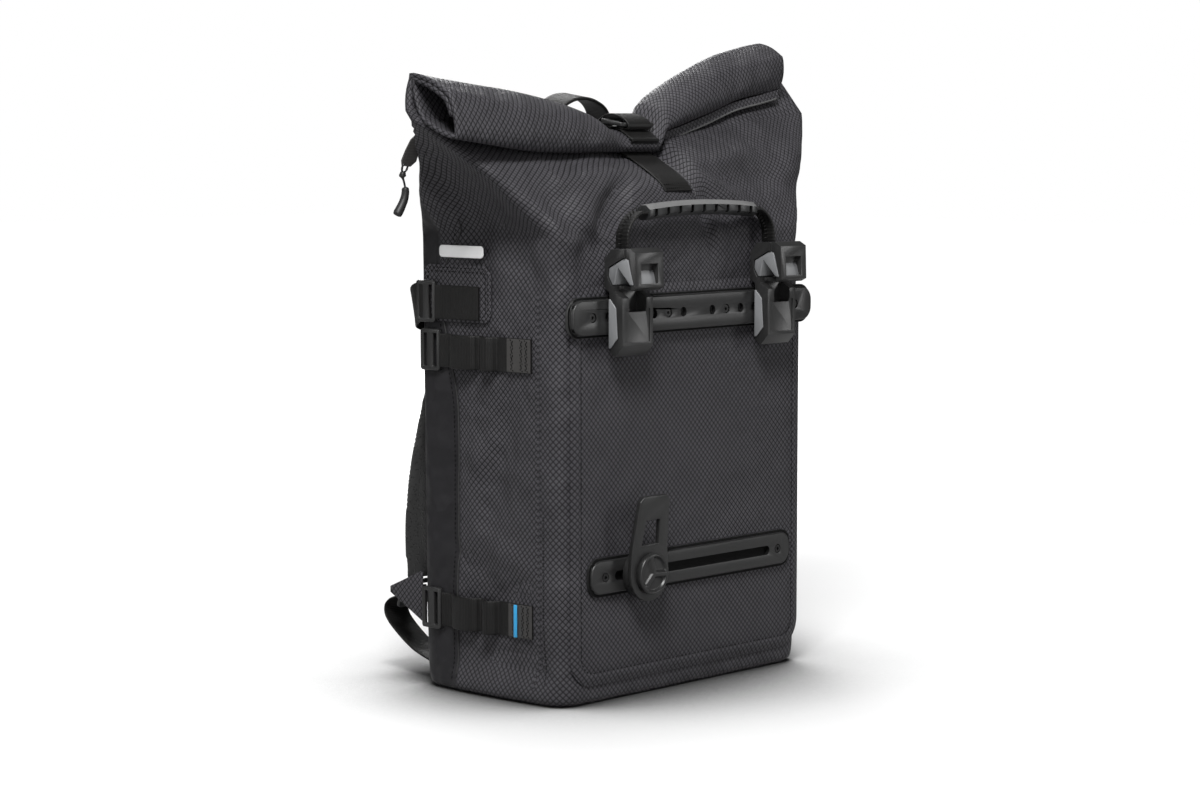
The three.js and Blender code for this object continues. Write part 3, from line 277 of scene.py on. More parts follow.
def ripstopCloth(name, plainMask=None, tint=coolTint):
    p = Paint(name)
    uv = p.cloth()
    where = p.place()
    u = p.node("ShaderNodeSeparateXYZ", None, {"Vector": uv})
    v = u.out(1)
    half = 1.0 / (ripstop["pitch"] * math.sqrt(2.0))
    wander = p.noise(uv, ripstop["wanderScale"], 2.0) * ripstop["wander"]
    a = ((u + v) * half + wander).math("FRACT") - 0.5
    b = ((u - v) * half + wander).math("FRACT") - 0.5
    toA, toB = a.math("ABSOLUTE"), b.math("ABSOLUTE")
    line = p.step(toA.math("MAXIMUM", toB), 0.5 - ripstop["line"], 0.5)
    weave = (p.wave(uv, "X", ripstop["weaveScale"], 0.6) + p.wave(uv, "Y", ripstop["weaveScale"], 0.6)) * 0.5
    cloudy = p.noise(uv, ripstop["cloudScale"], 4.0, 0.6)
    mottled = p.noise(uv, ripstop["mottleScale"], 2.0, 0.6)
    plain = 0.0
    if plainMask:
        plain = p.node("ShaderNodeAttribute", {"attribute_name": plainMask}, None, out=2)
        line = line * (1.0 - plain)
    level = ripstop["cell"]
    light = p.blendColour(cloudy, grey(level * ripstop["dark"], tint), grey(level * ripstop["light"], tint))
    light = p.blendColour(mottled * 0.5, light, grey(level * ripstop["mottle"], tint))
    if plainMask:
        light = p.blendColour(plain, light, grey(level * ripstop["plain"], tint))
    colour = p.blendColour(line, light, grey(ripstop["thread"], tint))
    pillow = (1.0 - toA * toA * ripstop["pillow"]) * (1.0 - toB * toB * ripstop["pillow"])
    if plainMask:
        pillow = pillow * (1.0 - plain)
    # the cloth never lies quite flat: soft waves, and fine creases where two waves meet
    waves = p.noise(where, ripstop["waveScale"], 2.0, 0.5)
    crease = 1.0 - (p.noise(where, ripstop["creaseScale"], 2.0, 0.5) * 2.0 - 1.0).math("ABSOLUTE")
    sharp = crease * crease * crease * crease
    loose = ripstop["looseShare"] if plainMask else ripstop["tautShare"]
    relief = (waves * ripstop["waveHigh"] + sharp * sharp * ripstop["creaseHigh"]) * loose
    height = pillow * ripstop["cellHigh"] + weave * ripstop["weaveHigh"] + relief
    rough = ripstop["rough"] + line * ripstop["lineRough"] + (cloudy - 0.5) * ripstop["cloudRough"]
    return p.finish({
        "Base Color": colour,
        "Roughness": rough,
        "Specular IOR Level": ripstop["specular"],
        "Sheen Weight": ripstop["sheen"],
        "Sheen Roughness": 0.4,
        "Normal": p.bump(height, ripstop["bump"], mm),
    })


# woven nylon webbing: ribs across the band, selvedges along it
def webbingCloth(name, level=0.0055, rib=1.5 * mm, strength=0.7, tint=warmTint):
    p = Paint(name)
    uv = p.cloth()
    across = p.node("ShaderNodeSeparateXYZ", None, {"Vector": uv})
    along = across.out(1)
    turn, yarnPitch = 2.0 * math.pi, 0.9 * mm
    sway = (along * (turn / rib)).math("SINE")
    yarn = (across * (turn / yarnPitch) + sway * 0.8).math("SINE") * 0.5 + 0.5
    weave = (sway * 0.5 + 0.5) * 0.65 + yarn * 0.35
    cloudy = p.noise(uv, 60.0, 3.0)
    colour = p.blendColour(weave, grey(level * 0.45, tint), grey(level * 1.35, tint))
    colour = p.blendColour(cloudy * 0.35, colour, grey(level * 1.6, tint))
    return p.finish({
        "Base Color": colour,
        "Roughness": 0.5 + (cloudy - 0.5) * 0.2,
        "Specular IOR Level": 0.26,
        "Sheen Weight": 0.02,
        "Sheen Roughness": 0.5,
        "Normal": p.bump(weave, strength, 0.25 * mm),
    })


# moulded nylon: a fine spark-eroded grain, a little dust and faint flow marks
def mouldedPlastic(name, level=0.017, rough=0.36, grain=0.35, tint=(1, 1, 1), specular=0.5):
    p = Paint(name)
    where = p.place()
    fine = p.noise(where, 2200.0, 2.0)
    cloudy = p.noise(where, 40.0, 4.0, 0.6)
    wear = p.step(p.noise(where, 160.0, 5.0, 0.7), 0.60, 0.74)
    colour = p.blendColour(cloudy, grey(level * 0.85, tint), grey(level * 1.2, tint))
    colour = p.blendColour(wear * 0.35, colour, grey(level * 1.9, tint))
    return p.finish({
        "Base Color": colour,
        "Roughness": rough + (cloudy - 0.5) * 0.14 + wear * 0.08,
        "Specular IOR Level": specular,
        "Normal": p.bump(fine + cloudy * 0.4, grain, 0.06 * mm),
    })


def brushedSteel(name):
    p = Paint(name)
    where = p.place()
    fine = p.noise(where, 900.0, 3.0)
    return p.finish({
        "Base Color": p.blendColour(fine, grey(0.035), grey(0.075)),
        "Metallic": 1.0,
        "Roughness": 0.24 + fine * 0.15,
        "Normal": p.bump(fine, 0.15, 0.05 * mm),
    })


# reflective tape: silver with a very fine bead grain
def reflectiveTape(name):
    p = Paint(name)
    where = p.place()
    beads = p.node("ShaderNodeTexVoronoi", None, {"Vector": where, "Scale": 1500.0})
    cloudy = p.noise(where, 70.0, 3.0)
    return p.finish({
        "Base Color": p.blendColour(cloudy, grey(0.86), grey(0.97)),
        "Roughness": 0.34 + cloudy * 0.12,
        "Specular IOR Level": 0.6,
        "Normal": p.bump(beads, 0.2, 0.05 * mm),
    })


def tagTape(name):
    p = Paint(name)
    where = p.place()
    ribs = p.wave(where, "Z", 420.0, 0.4)
    cloudy = p.noise(where, 120.0, 3.0)
    colour = p.blendColour(ribs, (0.012, 0.26, 0.55, 1.0), (0.03, 0.42, 0.78, 1.0))
    return p.finish({
        "Base Color": p.blendColour(cloudy * 0.25, colour, (0.02, 0.20, 0.42, 1.0)),
        "Roughness": 0.55 + cloudy * 0.1,
        "Sheen Weight": 0.15,
        "Normal": p.bump(ribs, 0.4, 0.15 * mm),
    })


# knitted spacer mesh of the strap padding
def spacerMesh(name, level=0.016):
    p = Paint(name)
    where = p.place()
    holes = p.node("ShaderNodeTexVoronoi", {"feature": "F1"}, {"Vector": where, "Scale": 480.0})
    knit = p.step(holes, 0.18, 0.42)
    cloudy = p.noise(where, 50.0, 3.0)
    colour = p.blendColour(knit, grey(level * 0.35), grey(level * 1.5))
    return p.finish({
        "Base Color": p.blendColour(cloudy * 0.4, colour, grey(level * 1.1)),
        "Roughness": 0.78 + cloudy * 0.1,
        "Specular IOR Level": 0.3,
        "Sheen Weight": 0.2,
        "Normal": p.bump(knit, 0.7, 0.35 * mm),
    })


# Meshes
def makePiece(name, points, faces, material, body, replaces=(), uv=None, smooth=True):
    mesh = bpy.data.meshes.new(name)
    mesh.from_pydata([tuple(p) for p in points], [], faces)
    mesh.materials.append(material)
    if uv is not None:
        layer = mesh.uv_layers.new(name="cloth")
        layer.data.foreach_set("uv", np.asarray(uv, np.float32).ravel())
    mesh.validate()
    mesh.polygons.foreach_set("use_smooth", [smooth] * len(mesh.polygons))
    piece = bpy.data.objects.new(name, mesh)
    scene.collection.objects.link(piece)
    ridesOn(piece, body, replaces)
    return piece


def ridesOn(piece, body, replaces=()):
    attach(piece, body)
    if replaces:
        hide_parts(*replaces)


def baked(piece):
    # the piece with its modifiers as a plain mesh
    graph = bpy.context.evaluated_depsgraph_get()
    made = bpy.data.meshes.new_from_object(piece.evaluated_get(graph))
    made.name = piece.name
    piece.modifiers.clear()
    piece.data = made
    return piece


def moulded(node, material, body, bevel=0.5, segments=2, name=None, crease=28.0):
    # a CAD solid with its edges rounded as a mould leaves them
    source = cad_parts[node]
    mesh = source.data.copy()
    mesh.name = name or node + "_moulded"
    work = bmesh.new()
    work.from_mesh(mesh)
    bmesh.ops.remove_doubles(work, verts=work.verts, dist=2e-6)
    flat = math.radians(1.0)
    bmesh.ops.dissolve_limit(work, angle_limit=flat, verts=work.verts, edges=work.edges)
    work.to_mesh(mesh)
    work.free()
    mesh.materials.clear()
    mesh.materials.append(material)
    piece = bpy.data.objects.new(mesh.name, mesh)
    scene.collection.objects.link(piece)
    rounding = piece.modifiers.new("edges", "BEVEL")
    rounding.width = bevel * mm
    rounding.segments = segments
    rounding.limit_method = "ANGLE"
    rounding.angle_limit = math.radians(crease)
    rounding.use_clamp_overlap = True
    baked(piece)
    piece.data.polygons.foreach_set("use_smooth", [True] * len(piece.data.polygons))
    piece.data.set_sharp_from_angle(angle=math.radians(40))
    ridesOn(piece, body, (node,))
    return piece


def spline(points, steps):
    # Catmull-Rom through the points, evenly many steps between each pair
    p = np.asarray(points, float)
    ends = np.vstack([2 * p[0] - p[1], p, 2 * p[-1] - p[-2]])
    out = []
    for i in range(len(p) - 1):
        a, b, c, d = ends[i:i + 4]
        for k in range(steps):
            t = k / steps
            out.append(0.5 * (2 * b + (c - a) * t + (2 * a - 5 * b + 4 * c - d) * t ** 2
                              + (3 * b - a - 3 * c + d) * t ** 3))
    out.append(p[-1])
    return np.array(out)


def unit(vectors):
    return vectors / np.linalg.norm(vectors, axis=-1, keepdims=True)


def runAlong(path):
    # the directions along a path, and how far along it each point lies
    steps = np.linalg.norm(np.diff(path, axis=0), axis=1)
    return unit(np.gradient(path, axis=0)), np.concatenate([[0.0], np.cumsum(steps)])


def ringWalls(rows, n):
    # faces between closed rings of n points each
    return [(i * n + k, i * n + (k + 1) % n, (i + 1) * n + (k + 1) % n, (i + 1) * n + k)
            for i in range(rows - 1) for k in range(n)]


def ringEnds(rows, n):
    return [tuple(range(n)), tuple(range((rows - 1) * n, rows * n))]


tubeUp = np.array([0.31, 0.22, 0.93])        # along none of the tubes


def tube(name, path, radius, material, body="bag", sides=8, replaces=()):
    # a round cord of cloth along a path in metres, its ends closed and slightly drawn in
    p = np.asarray(path, float)
    tangent, run = runAlong(p)
    across = unit(np.cross(tangent, tubeUp))
    out = np.cross(tangent, across)
    radii = np.broadcast_to(np.asarray(radius, float), len(p)).copy()
    radii[[0, -1]] *= 0.6
    points, uv = [], []
    for i in range(len(p)):
        for k in range(sides):
            a = 2 * math.pi * k / sides
            points.append(p[i] + (across[i] * math.cos(a) + out[i] * math.sin(a)) * radii[i])
    for low, high in zip(run[:-1], run[1:]):
        for k in range(sides):
            uv.extend([(k * mm, low), ((k + 1) * mm, low), ((k + 1) * mm, high), (k * mm, high)])
    uv.extend([(0.0, 0.0)] * 2 * sides)
    faces = ringWalls(len(p), sides) + ringEnds(len(p), sides)
    return turnOut(makePiece(name, points, faces, material, body, replaces, uv))


# stitches and other small repeats along a path, made by one node tree
def repeatTree():
    tree = bpy.data.node_groups.new("repeat_along", "GeometryNodeTree")
    face = tree.interface
    face.new_socket("path", in_out="INPUT", socket_type="NodeSocketGeometry")
    for name in ("pitch", "long", "wide", "thick"):
        face.new_socket(name, in_out="INPUT", socket_type="NodeSocketFloat").default_value = mm
    face.new_socket("finish", in_out="INPUT", socket_type="NodeSocketMaterial")
    face.new_socket("pieces", in_out="OUTPUT", socket_type="NodeSocketGeometry")

    def node(kind, settings=None, inputs=None):
        made = tree.nodes.new(kind)
        for key, value in (settings or {}).items():
            setattr(made, key, value)
        for key, value in (inputs or {}).items():
            if isinstance(value, bpy.types.NodeSocket):
                tree.links.new(value, made.inputs[key])
            else:
                made.inputs[key].default_value = value
        return made

    given = node("NodeGroupInput").outputs
    curve = node("GeometryNodeMeshToCurve", None, {"Mesh": given["path"]})
    places = node("GeometryNodeCurveToPoints", {"mode": "LENGTH"},
                  {"Curve": curve.outputs["Curve"], "Length": given["pitch"]})
    grain = node("GeometryNodeMeshUVSphere", None, {"Segments": 6, "Rings": 4, "Radius": 0.5})
    size = node("ShaderNodeCombineXYZ", None,
                {"X": given["thick"], "Y": given["wide"], "Z": given["long"]})
    uneven = node("FunctionNodeRandomValue", {"data_type": "FLOAT"}, {2: 0.86, 3: 1.08, "Seed": 11})
    scaled = node("ShaderNodeVectorMath", {"operation": "SCALE"},
                  {0: size.outputs[0], "Scale": uneven.outputs[1]})
    copies = node("GeometryNodeInstanceOnPoints", None, {
        "Points": places.outputs["Points"], "Instance": grain.outputs["Mesh"],
        "Rotation": places.outputs["Rotation"], "Scale": scaled.outputs[0]})
    smooth = node("GeometryNodeSetShadeSmooth", None, {"Geometry": copies.outputs[0]})
    real = node("GeometryNodeRealizeInstances", None, {"Geometry": smooth.outputs[0]})
    finish = node("GeometryNodeSetMaterial", None,
                  {"Geometry": real.outputs[0], "Material": given["finish"]})
    node("NodeGroupOutput", None, {0: finish.outputs[0]})
    return tree


repeats = repeatTree()
stitch = {
    "seam": {"pitch": 3.6, "long": 2.5, "wide": 0.75, "thick": 0.45},
    "fine": {"pitch": 2.2, "long": 1.7, "wide": 0.75, "thick": 0.6},
    "rib": {"pitch": 3.0, "long": 1.5, "wide": 11.0, "thick": 1.0},
}


def stitched(name, runs, material, kind="seam", body="bag"):
    # runs are paths in metres; a closed one repeats its first point
    points, edges = [], []
    for run in runs:
        first = len(points)
        points += [tuple(float(c) for c in q) for q in run]
        edges += [(first + k, first + k + 1) for k in range(len(run) - 1)]
    mesh = bpy.data.meshes.new(name)
    mesh.from_pydata(points, edges, [])
    piece = bpy.data.objects.new(name, mesh)
    scene.collection.objects.link(piece)
    modifier = piece.modifiers.new("repeats", "NODES")
    modifier.node_group = repeats
    sockets = {item.name: item.identifier for item in repeats.interface.items_tree
               if item.in_out == "INPUT"}
    for key, value in stitch[kind].items():
        modifier[sockets[key]] = value * mm
    modifier[sockets["finish"]] = material
    baked(piece)
    ridesOn(piece, body)
    return piece


bandShares = [-0.5, -0.485, -0.45, -0.3, -0.1, 0.1, 0.3, 0.45, 0.485, 0.5]
bandThick = [0.35, 0.80, 1.0, 0.92, 0.96, 0.96, 0.92, 1.0, 0.80, 0.35]


def band(name, path, across, wide, thick, material, replaces=(), body="bag"):
    # webbing along a path in metres: across is one direction, or one for each point
    p = np.asarray(path, float)
    a = np.broadcast_to(np.asarray(across, float), p.shape).copy()
    tangent, run = runAlong(p)
    a = unit(a - tangent * np.sum(a * tangent, 1, keepdims=True))
    out = np.cross(tangent, a)
    points, marks = [], []
    ring = [(s, t) for s, t in zip(bandShares, bandThick)] + [
        (s, -t) for s, t in reversed(list(zip(bandShares, bandThick)))]
    for i in range(len(p)):
        for s, t in ring:
            points.append(p[i] + a[i] * s * wide + out[i] * t * thick / 2)
            marks.append((s * wide, run[i]))
    faces = ringWalls(len(p), len(ring)) + ringEnds(len(p), len(ring))
    uv = [marks[j] for face in faces for j in face]
    return turnOut(makePiece(name, points, faces, material, body, replaces, uv), 50)


farOff = 0.4        # where rays start, outside the bag, in metres


def rayTree(piece):
    mesh = piece.data
    return BVHTree.FromPolygons([v.co for v in mesh.vertices], [tuple(f.vertices) for f in mesh.polygons])


def castOn(tree, start, way, lift=0.0):
    # where a ray meets the surface, lifted off it in millimetres, or None
    hit, normal, _, _ = tree.ray_cast(Vector(start), Vector(way))
    return None if hit is None else np.array(hit) + np.array(normal) * lift * mm


def turnOut(piece, sharp=None):
    work = bmesh.new()
    work.from_mesh(piece.data)
    bmesh.ops.recalc_face_normals(work, faces=work.faces)
    work.to_mesh(piece.data)
    work.free()
    if sharp:
        piece.data.set_sharp_from_angle(angle=math.radians(sharp))
    return piece


# The bag's cloth
bag = {
    "width": 273.0,
    "depth": 151.0,
    "wall": 1.4,
    "sleeveGap": 0.8,
    "flat": 436.0,
    "shoulder": 295.0,
    "neck": 403.0,
    "rollDepth": 72.0,
    "rollHeight": 40.0,
    "rollClimb": 50.0,
    "rollTurns": 1.58,
    "rollPitch": 4.3,
    "drawIn": 60.0,
    "leftEnd": 0.97,
    "rightEnd": 0.88,
    "creasedEnd": 0.62,
    "creasedTurn": 12.0,
    "corner": 15.0,        # rounding of the upright corners
    "columnsPerHalf": 50,
    "standStep": 6.0,
    "shoulderStep": 2.6,
    "rollStep": 10.0,
    "wrinkle": 0.65,
    "foldShare": 2.4,
}
halfWidth, halfDepth, halfFlat = bag["width"] / 2, bag["depth"] / 2, bag["flat"] / 2
sleeveHalf = bag["wall"] + bag["sleeveGap"] / 2

# up, wide, front, back, bulge: shares of the shoulder height, half width and half depth
standRows = np.array([
    (0.000, 0.950, 0.920, 0.940, 0.035),
    (0.012, 0.975, 0.975, 0.975, 0.055),
    (0.040, 0.985, 0.992, 0.990, 0.048),
    (0.085, 0.990, 1.000, 1.000, 0.012),
    (0.250, 1.000, 1.000, 1.000, 0.000),
    (0.600, 1.000, 1.000, 1.015, 0.000),
    (1.000, 1.000, 1.000, 1.030, 0.000),
])
# up, flat, belly, hump: from the shoulders to the neck
shoulderRows = np.array([
    (0.00, 0.00, 0.00, 0.00),
    (0.36, 0.01, 0.00, 0.00),
    (0.47, 0.14, 0.07, 0.02),
    (0.62, 0.36, 0.22, 0.05),
    (0.76, 0.58, 0.31, 0.06),
    (0.88, 0.80, 0.25, 0.05),
    (0.96, 0.94, 0.15, 0.03),
    (1.00, 1.00, 0.00, 0.00),
])
# at, out, up, long, tall, tilt, start, sleeve: the roll from the left end to the right
rollRows = np.array([
    (-1.00, -0.300, 0.60, 0.95, 0.92, 38, -60, 0.15),
    (-0.65, -0.275, 0.42, 0.88, 0.94, 38, -60, 0.15),
    (-0.42, -0.250, 0.32, 0.78, 0.83, 34, -60, 0.15),
    (-0.22, -0.225, 0.22, 0.63, 0.65, 26, -60, 0.15),
    (-0.09, -0.180, 0.10, 0.50, 0.43, 14, -60, 0.15),
    (0.09, -0.180, 0.10, 0.50, 0.43, 14, -60, 0.15),
    (0.16, -0.130, 0.43, 0.54, 0.57, 20, -65, 0.20),
    (0.31, -0.060, 0.64, 0.60, 0.72, 28, -74, 0.32),
    (0.50, 0.000, 0.86, 0.64, 0.84, 35, -84, 0.48),
    (0.70, 0.060, 1.08, 0.65, 0.89, 42, -92, 0.64),
    (1.00, 0.110, 1.28, 0.65, 0.90, 48, -100, 0.78),
])
# side, deep, up, wide, tall, sink: soft hollows in the sides
dents = [
    (-1, 0.00, 1.27, 0.45, 0.11, 0.080),
    (1, 0.00, 1.27, 0.45, 0.11, 0.080),
    (-1, -0.15, 0.085, 0.60, 0.07, 0.030),
    (1, -0.15, 0.085, 0.60, 0.07, 0.030),
]


def smoothStep(x, low, high):
    t = np.clip((x - low) / (high - low), 0.0, 1.0)
    return t * t * (3 - 2 * t)


def alongRows(rows, at):
    # smooth columns between a table's rows, without overshoot
    x = rows[:, 0]
    i = int(np.clip(np.searchsorted(x, at, side="right") - 1, 0, len(x) - 2))
    slope = np.diff(rows, axis=0) / np.diff(x)[:, None]

    def tangentAt(k):
        if k == 0 or k == len(x) - 1:
            return slope[min(k, len(slope) - 1)]
        a, b = slope[k - 1], slope[k]
        same = a * b > 0
        return np.where(same, 2 * a * b / np.where(same, a + b, 1.0), 0.0)

    h = x[i + 1] - x[i]
    t = float(np.clip((at - x[i]) / h, 0.0, 1.0))
    a, b = rows[i], rows[i + 1]
    ta, tb = tangentAt(i) * h, tangentAt(i + 1) * h
    return (a * (1 + 2 * t) * (1 - t) ** 2 + b * t * t * (3 - 2 * t)
            + ta * t * (1 - t) ** 2 - tb * t * t * (1 - t))


def squared(angle, share):
    # the roll's ends are creased into a soft four-cornered shape
    amount = bag["creasedEnd"] * float(smoothStep(abs(share), 0.25, 1.0))
    off = (math.degrees(angle) - bag["creasedTurn"]) % 90.0 - 45.0
    return 1.0 - amount * (1.0 - math.cos(math.radians(45.0)) / math.cos(math.radians(off)))


def rollPoint(share, turned):
    _, out, up, long, tall, tilt, start, sleeve = alongRows(rollRows, share)
    lean, angle = math.radians(tilt), math.radians(start + turned)
    shrink = bag["rollPitch"] * turned / 360
    long, tall = long * bag["rollDepth"] / 2 - shrink, tall * bag["rollHeight"] / 2 - shrink
    along, over = (math.cos(lean), math.sin(lean)), (-math.sin(lean), math.cos(lean))
    pinch = squared(angle, share)
    long, tall = long * pinch, tall * pinch
    c, s = math.cos(angle), math.sin(angle)
    ny, nz = tall * c * along[0] + long * s * over[0], tall * c * along[1] + long * s * over[1]
    size = math.hypot(ny, nz)
    y = out * halfDepth + long * c * along[0] + tall * s * over[0]
    z = bag["neck"] + up * bag["rollClimb"] + long * c * along[1] + tall * s * over[1]
    return y, z, ny / size, nz / size, sleeve * bag["rollHeight"]


def neckPoint(share):
    y, z, ny, nz, sleeve = rollPoint(share, 0.0)
    return y + nz * sleeve, z - ny * sleeve, ny, nz


def dentedX(x, y, z):
    for side, deep, up, wide, tall, sink in dents:
        if x * side < halfWidth * 0.85:
            continue
        a, b = (y / halfDepth - deep) / wide, (z / bag["shoulder"] - up) / tall
        x -= side * sink * halfWidth * math.exp(-a * a - b * b)
    return x


# shares round the bag from the middle of a side to the middle of the front or back
count = bag["columnsPerHalf"]
halfShares = [k / count for k in range(count + 1)]
ringSides = [("back", -1, s) for s in reversed(halfShares)] + [("front", -1, s) for s in halfShares]
ringSides += [("front", 1, s) for s in reversed(halfShares[:-1])] + [("back", 1, s) for s in halfShares[:-1]]


def sectionPlace(share, half, reach, corner, swell):
    # place on an oblong with rounded corners: share 0 is the middle of the side
    r = min(corner, reach * 0.9, half * 0.9)
    parts = [reach - r, math.pi * r / 2, half - r]
    run = sleeveHalf + share * (sum(parts) - sleeveHalf)
    if run < parts[0]:
        across, out = half, run
    elif run < parts[0] + parts[1]:
        angle = (run - parts[0]) / r
        across, out = half - r + r * math.cos(angle), reach - r + r * math.sin(angle)
    else:
        across, out = half - r - (run - parts[0] - parts[1]), reach
    middle = max(0.0, 1 - (across / half) ** 2)
    outer = min(1.0, max(0.0, (out - 0.6 * reach) / (0.4 * reach)))
    return across, out + swell * middle * outer


def bodyRing(up, half, reaches, swells, flat, bulge, height):
    ring = []
    for layer, side, share in ringSides:
        facing = -1 if layer == "front" else 1
        reach, swell = reaches[layer], swells[layer]
        corner = bag["corner"] * (1 - flat) + 1.0
        across, out = sectionPlace(share, half, reach, corner, swell)
        y, z = facing * out, height
        if flat > 0:
            ny, nz, _, _ = neckPoint(side * (1 - share))
            y += ny * flat
            z = bag["shoulder"] + (nz - bag["shoulder"]) * up
        across += bulge * halfWidth * max(1 - (y / halfDepth) ** 2, 0)
        ring.append((dentedX(side * across, y, z), y, z))
    return ring


def standRing(height):
    _, wide, front, back, bulge = alongRows(standRows, height / bag["shoulder"])
    return bodyRing(0.0, halfWidth * wide, {"front": halfDepth * front, "back": halfDepth * back},
                    {"front": 0.0, "back": 0.0}, 0.0, bulge, height)


def shoulderRing(up):
    _, flat, belly, hump = alongRows(shoulderRows, up)
    _, wide, front, back, _ = standRows[-1]
    half = halfWidth * wide + (halfFlat - halfWidth * wide) * flat
    reaches = {k: halfDepth * v + (sleeveHalf - halfDepth * v) * flat
               for k, v in (("front", front), ("back", back))}
    return bodyRing(up, half, reaches, {"front": belly * halfDepth, "back": hump * halfDepth},
                    max(flat, 1e-6), 0.0, 0.0)


def sleeveRing(turned, inset, half):
    drawn = min(turned / bag["drawIn"], 1.0)
    ring = []
    for layer, side, share in ringSides:
        facing = -1 if layer == "front" else 1
        end = bag["leftEnd"] if side < 0 else bag["rightEnd"]
        flat = side * (1 - share)
        y, z, ny, nz, _ = rollPoint(flat, turned)
        x = flat * (halfFlat * (1 + (end - 1) * drawn) - inset)
        ring.append((x, y + facing * ny * half, z + facing * nz * half))
    return ring


# Folds of the cloth in millimetres: from, to, width, height (minus for a valley) and the way out
leftOut, rightOut, frontOut = (-1.0, -0.15, 0.1), (1.0, -0.15, 0.1), (0.0, -1.0, 0.15)
folds = [
    ((-150, -52, 322), (-208, -4, 418), 10, 2.2, (-0.7, -0.6, 0.3)),
    ((-141, -40, 318), (-190, 2, 398), 13, -4.2, leftOut),
    ((-140, 8, 330), (-178, 22, 392), 12, -4.0, leftOut),
    ((-141, 44, 320), (-196, 12, 414), 9, 2.0, (-0.8, 0.5, 0.2)),
    ((-132, -60, 330), (-60, -72, 392), 13, 2.4, frontOut),
    ((-120, -70, 318), (-40, -62, 380), 11, -2.4, frontOut),
    ((-105, -74, 318), (-132, -52, 372), 9, -2.0, frontOut),
    ((-150, -62, 300), (-132, -74, 355), 7, 1.6, (-0.7, -0.7, 0.2)),
    ((-132, -74, 352), (-64, -74, 322), 7, -1.5, frontOut),
    ((-170, -34, 386), (-196, -14, 404), 5, 1.4, leftOut),
    ((-152, 14, 352), (-142, -20, 306), 6, 1.5, leftOut),
    ((-30, -62, 384), (-74, -70, 330), 6, 1.4, frontOut),
    ((18, -68, 372), (30, -74, 318), 6, -1.3, frontOut),
    ((70, -70, 352), (112, -73, 316), 8, 1.6, frontOut),
    ((-137, 10, 120), (-138, -44, 96), 7, 1.5, leftOut),
    ((-137, 40, 110), (-139, -10, 84), 6, -1.4, leftOut),
    ((-137, -56, 30), (-137, 10, 34), 6, -1.3, leftOut),
    ((-137, -10, 200), (-137, 30, 150), 8, 1.1, leftOut),
    ((-26, -60, 396), (-90, -66, 356), 8, -2.6, frontOut),
    ((-24, -50, 402), (-120, -52, 378), 7, 1.6, frontOut),
    ((24, -60, 398), (78, -62, 372), 8, -2.6, frontOut),
    ((26, -56, 400), (120, -40, 404), 8, 2.2, frontOut),
    ((20, -66, 388), (52, -72, 340), 8, -1.8, frontOut),
    ((34, -64, 392), (96, -72, 344), 10, 1.8, frontOut),
    ((60, -60, 388), (150, -48, 372), 11, -3.0, frontOut),
    ((110, -60, 360), (196, -24, 420), 10, 2.4, frontOut),
    ((130, -70, 322), (176, -44, 378), 9, -2.2, frontOut),
    ((141, -40, 318), (190, -8, 398), 13, -4.2, rightOut),
    ((140, 8, 330), (178, 18, 392), 12, -4.0, rightOut),
    ((-136, -46, 88), (-136, 20, 60), 9, -1.6, leftOut),
    ((-138, -30, 40), (-139, 34, 30), 8, 1.2, leftOut),
    ((-136, -20, 226), (-136, 4, 100), 12, -1.6, leftOut),
    ((-136, 30, 230), (-136, 40, 92), 12, -1.2, leftOut),
    ((136, -46, 88), (136, 20, 60), 9, -1.6, rightOut),
    ((136, -20, 226), (136, 4, 100), 12, -1.6, rightOut),
]


def folded(points):
    p = np.asarray(points, float)
    moved = p.copy()
    for start, end, wide, high, out in folds:
        a, b = np.array(start, float), np.array(end, float)
        along = b - a
        t = np.clip(((p - a) @ along) / (along @ along), 0.0, 1.0)
        gap = np.linalg.norm(p - (a + t[:, None] * along), axis=1)
        taper = np.sin(np.pi * (0.12 + 0.76 * t))
        away = np.array(out) / np.linalg.norm(out)
        moved += away * (bag["foldShare"] * high * taper * np.exp(-(gap / wide) ** 2))[:, None]
    return moved


def gridNormals(grid):
    around = np.roll(grid, -1, 1) - np.roll(grid, 1, 1)
    along = np.gradient(grid, axis=0)
    normal = np.cross(around, along)
    normal /= np.maximum(np.linalg.norm(normal, axis=2, keepdims=True), 1e-9)
    centre = grid.mean(1, keepdims=True)
    if np.mean(np.sum(normal * (grid - centre), 2)[:20]) < 0:
        normal = -normal
    return normal


def bagGrid():
    standHeights = [0.0, 1.2, 3.0, 5.5] + list(np.arange(9.0, bag["shoulder"], bag["standStep"]))
    ups = np.linspace(0.0, 1.0, int((bag["neck"] - bag["shoulder"]) / bag["shoulderStep"]))
    turns = np.arange(0.0, bag["rollTurns"] * 360 + 1, bag["rollStep"])
    body = [standRing(h) for h in standHeights] + [shoulderRing(u) for u in ups[1:-1]]
    sleeve = [sleeveRing(t, 0.0, sleeveHalf) for t in turns]
    inside = [sleeveRing(t, bag["wall"], bag["sleeveGap"] / 2) for t in turns]
    return np.array(body), np.array(sleeve), np.array(inside)


def wrinkled(grid):
    # small creases in the loose cloth above the shoulders, almost none below
    normal = gridNormals(grid)
    out = grid.copy()
    for i in range(grid.shape[0]):
        for k in range(grid.shape[1]):
            x, y, z = grid[i, k]
            loose = float(smoothStep(z, 300.0, 345.0))
            big = noise.noise(Vector((x * 0.030, y * 0.030, z * 0.022 + 7.0)))
            small = noise.noise(Vector((x * 0.075 + 3.0, y * 0.075, z * 0.055)))
            lift = bag["wrinkle"] * loose * (2.2 * big + 0.8 * small)
            lift -= 0.35 * (1 - loose) * (0.5 + 0.5 * big)
            out[i, k] += normal[i, k] * lift
    return out


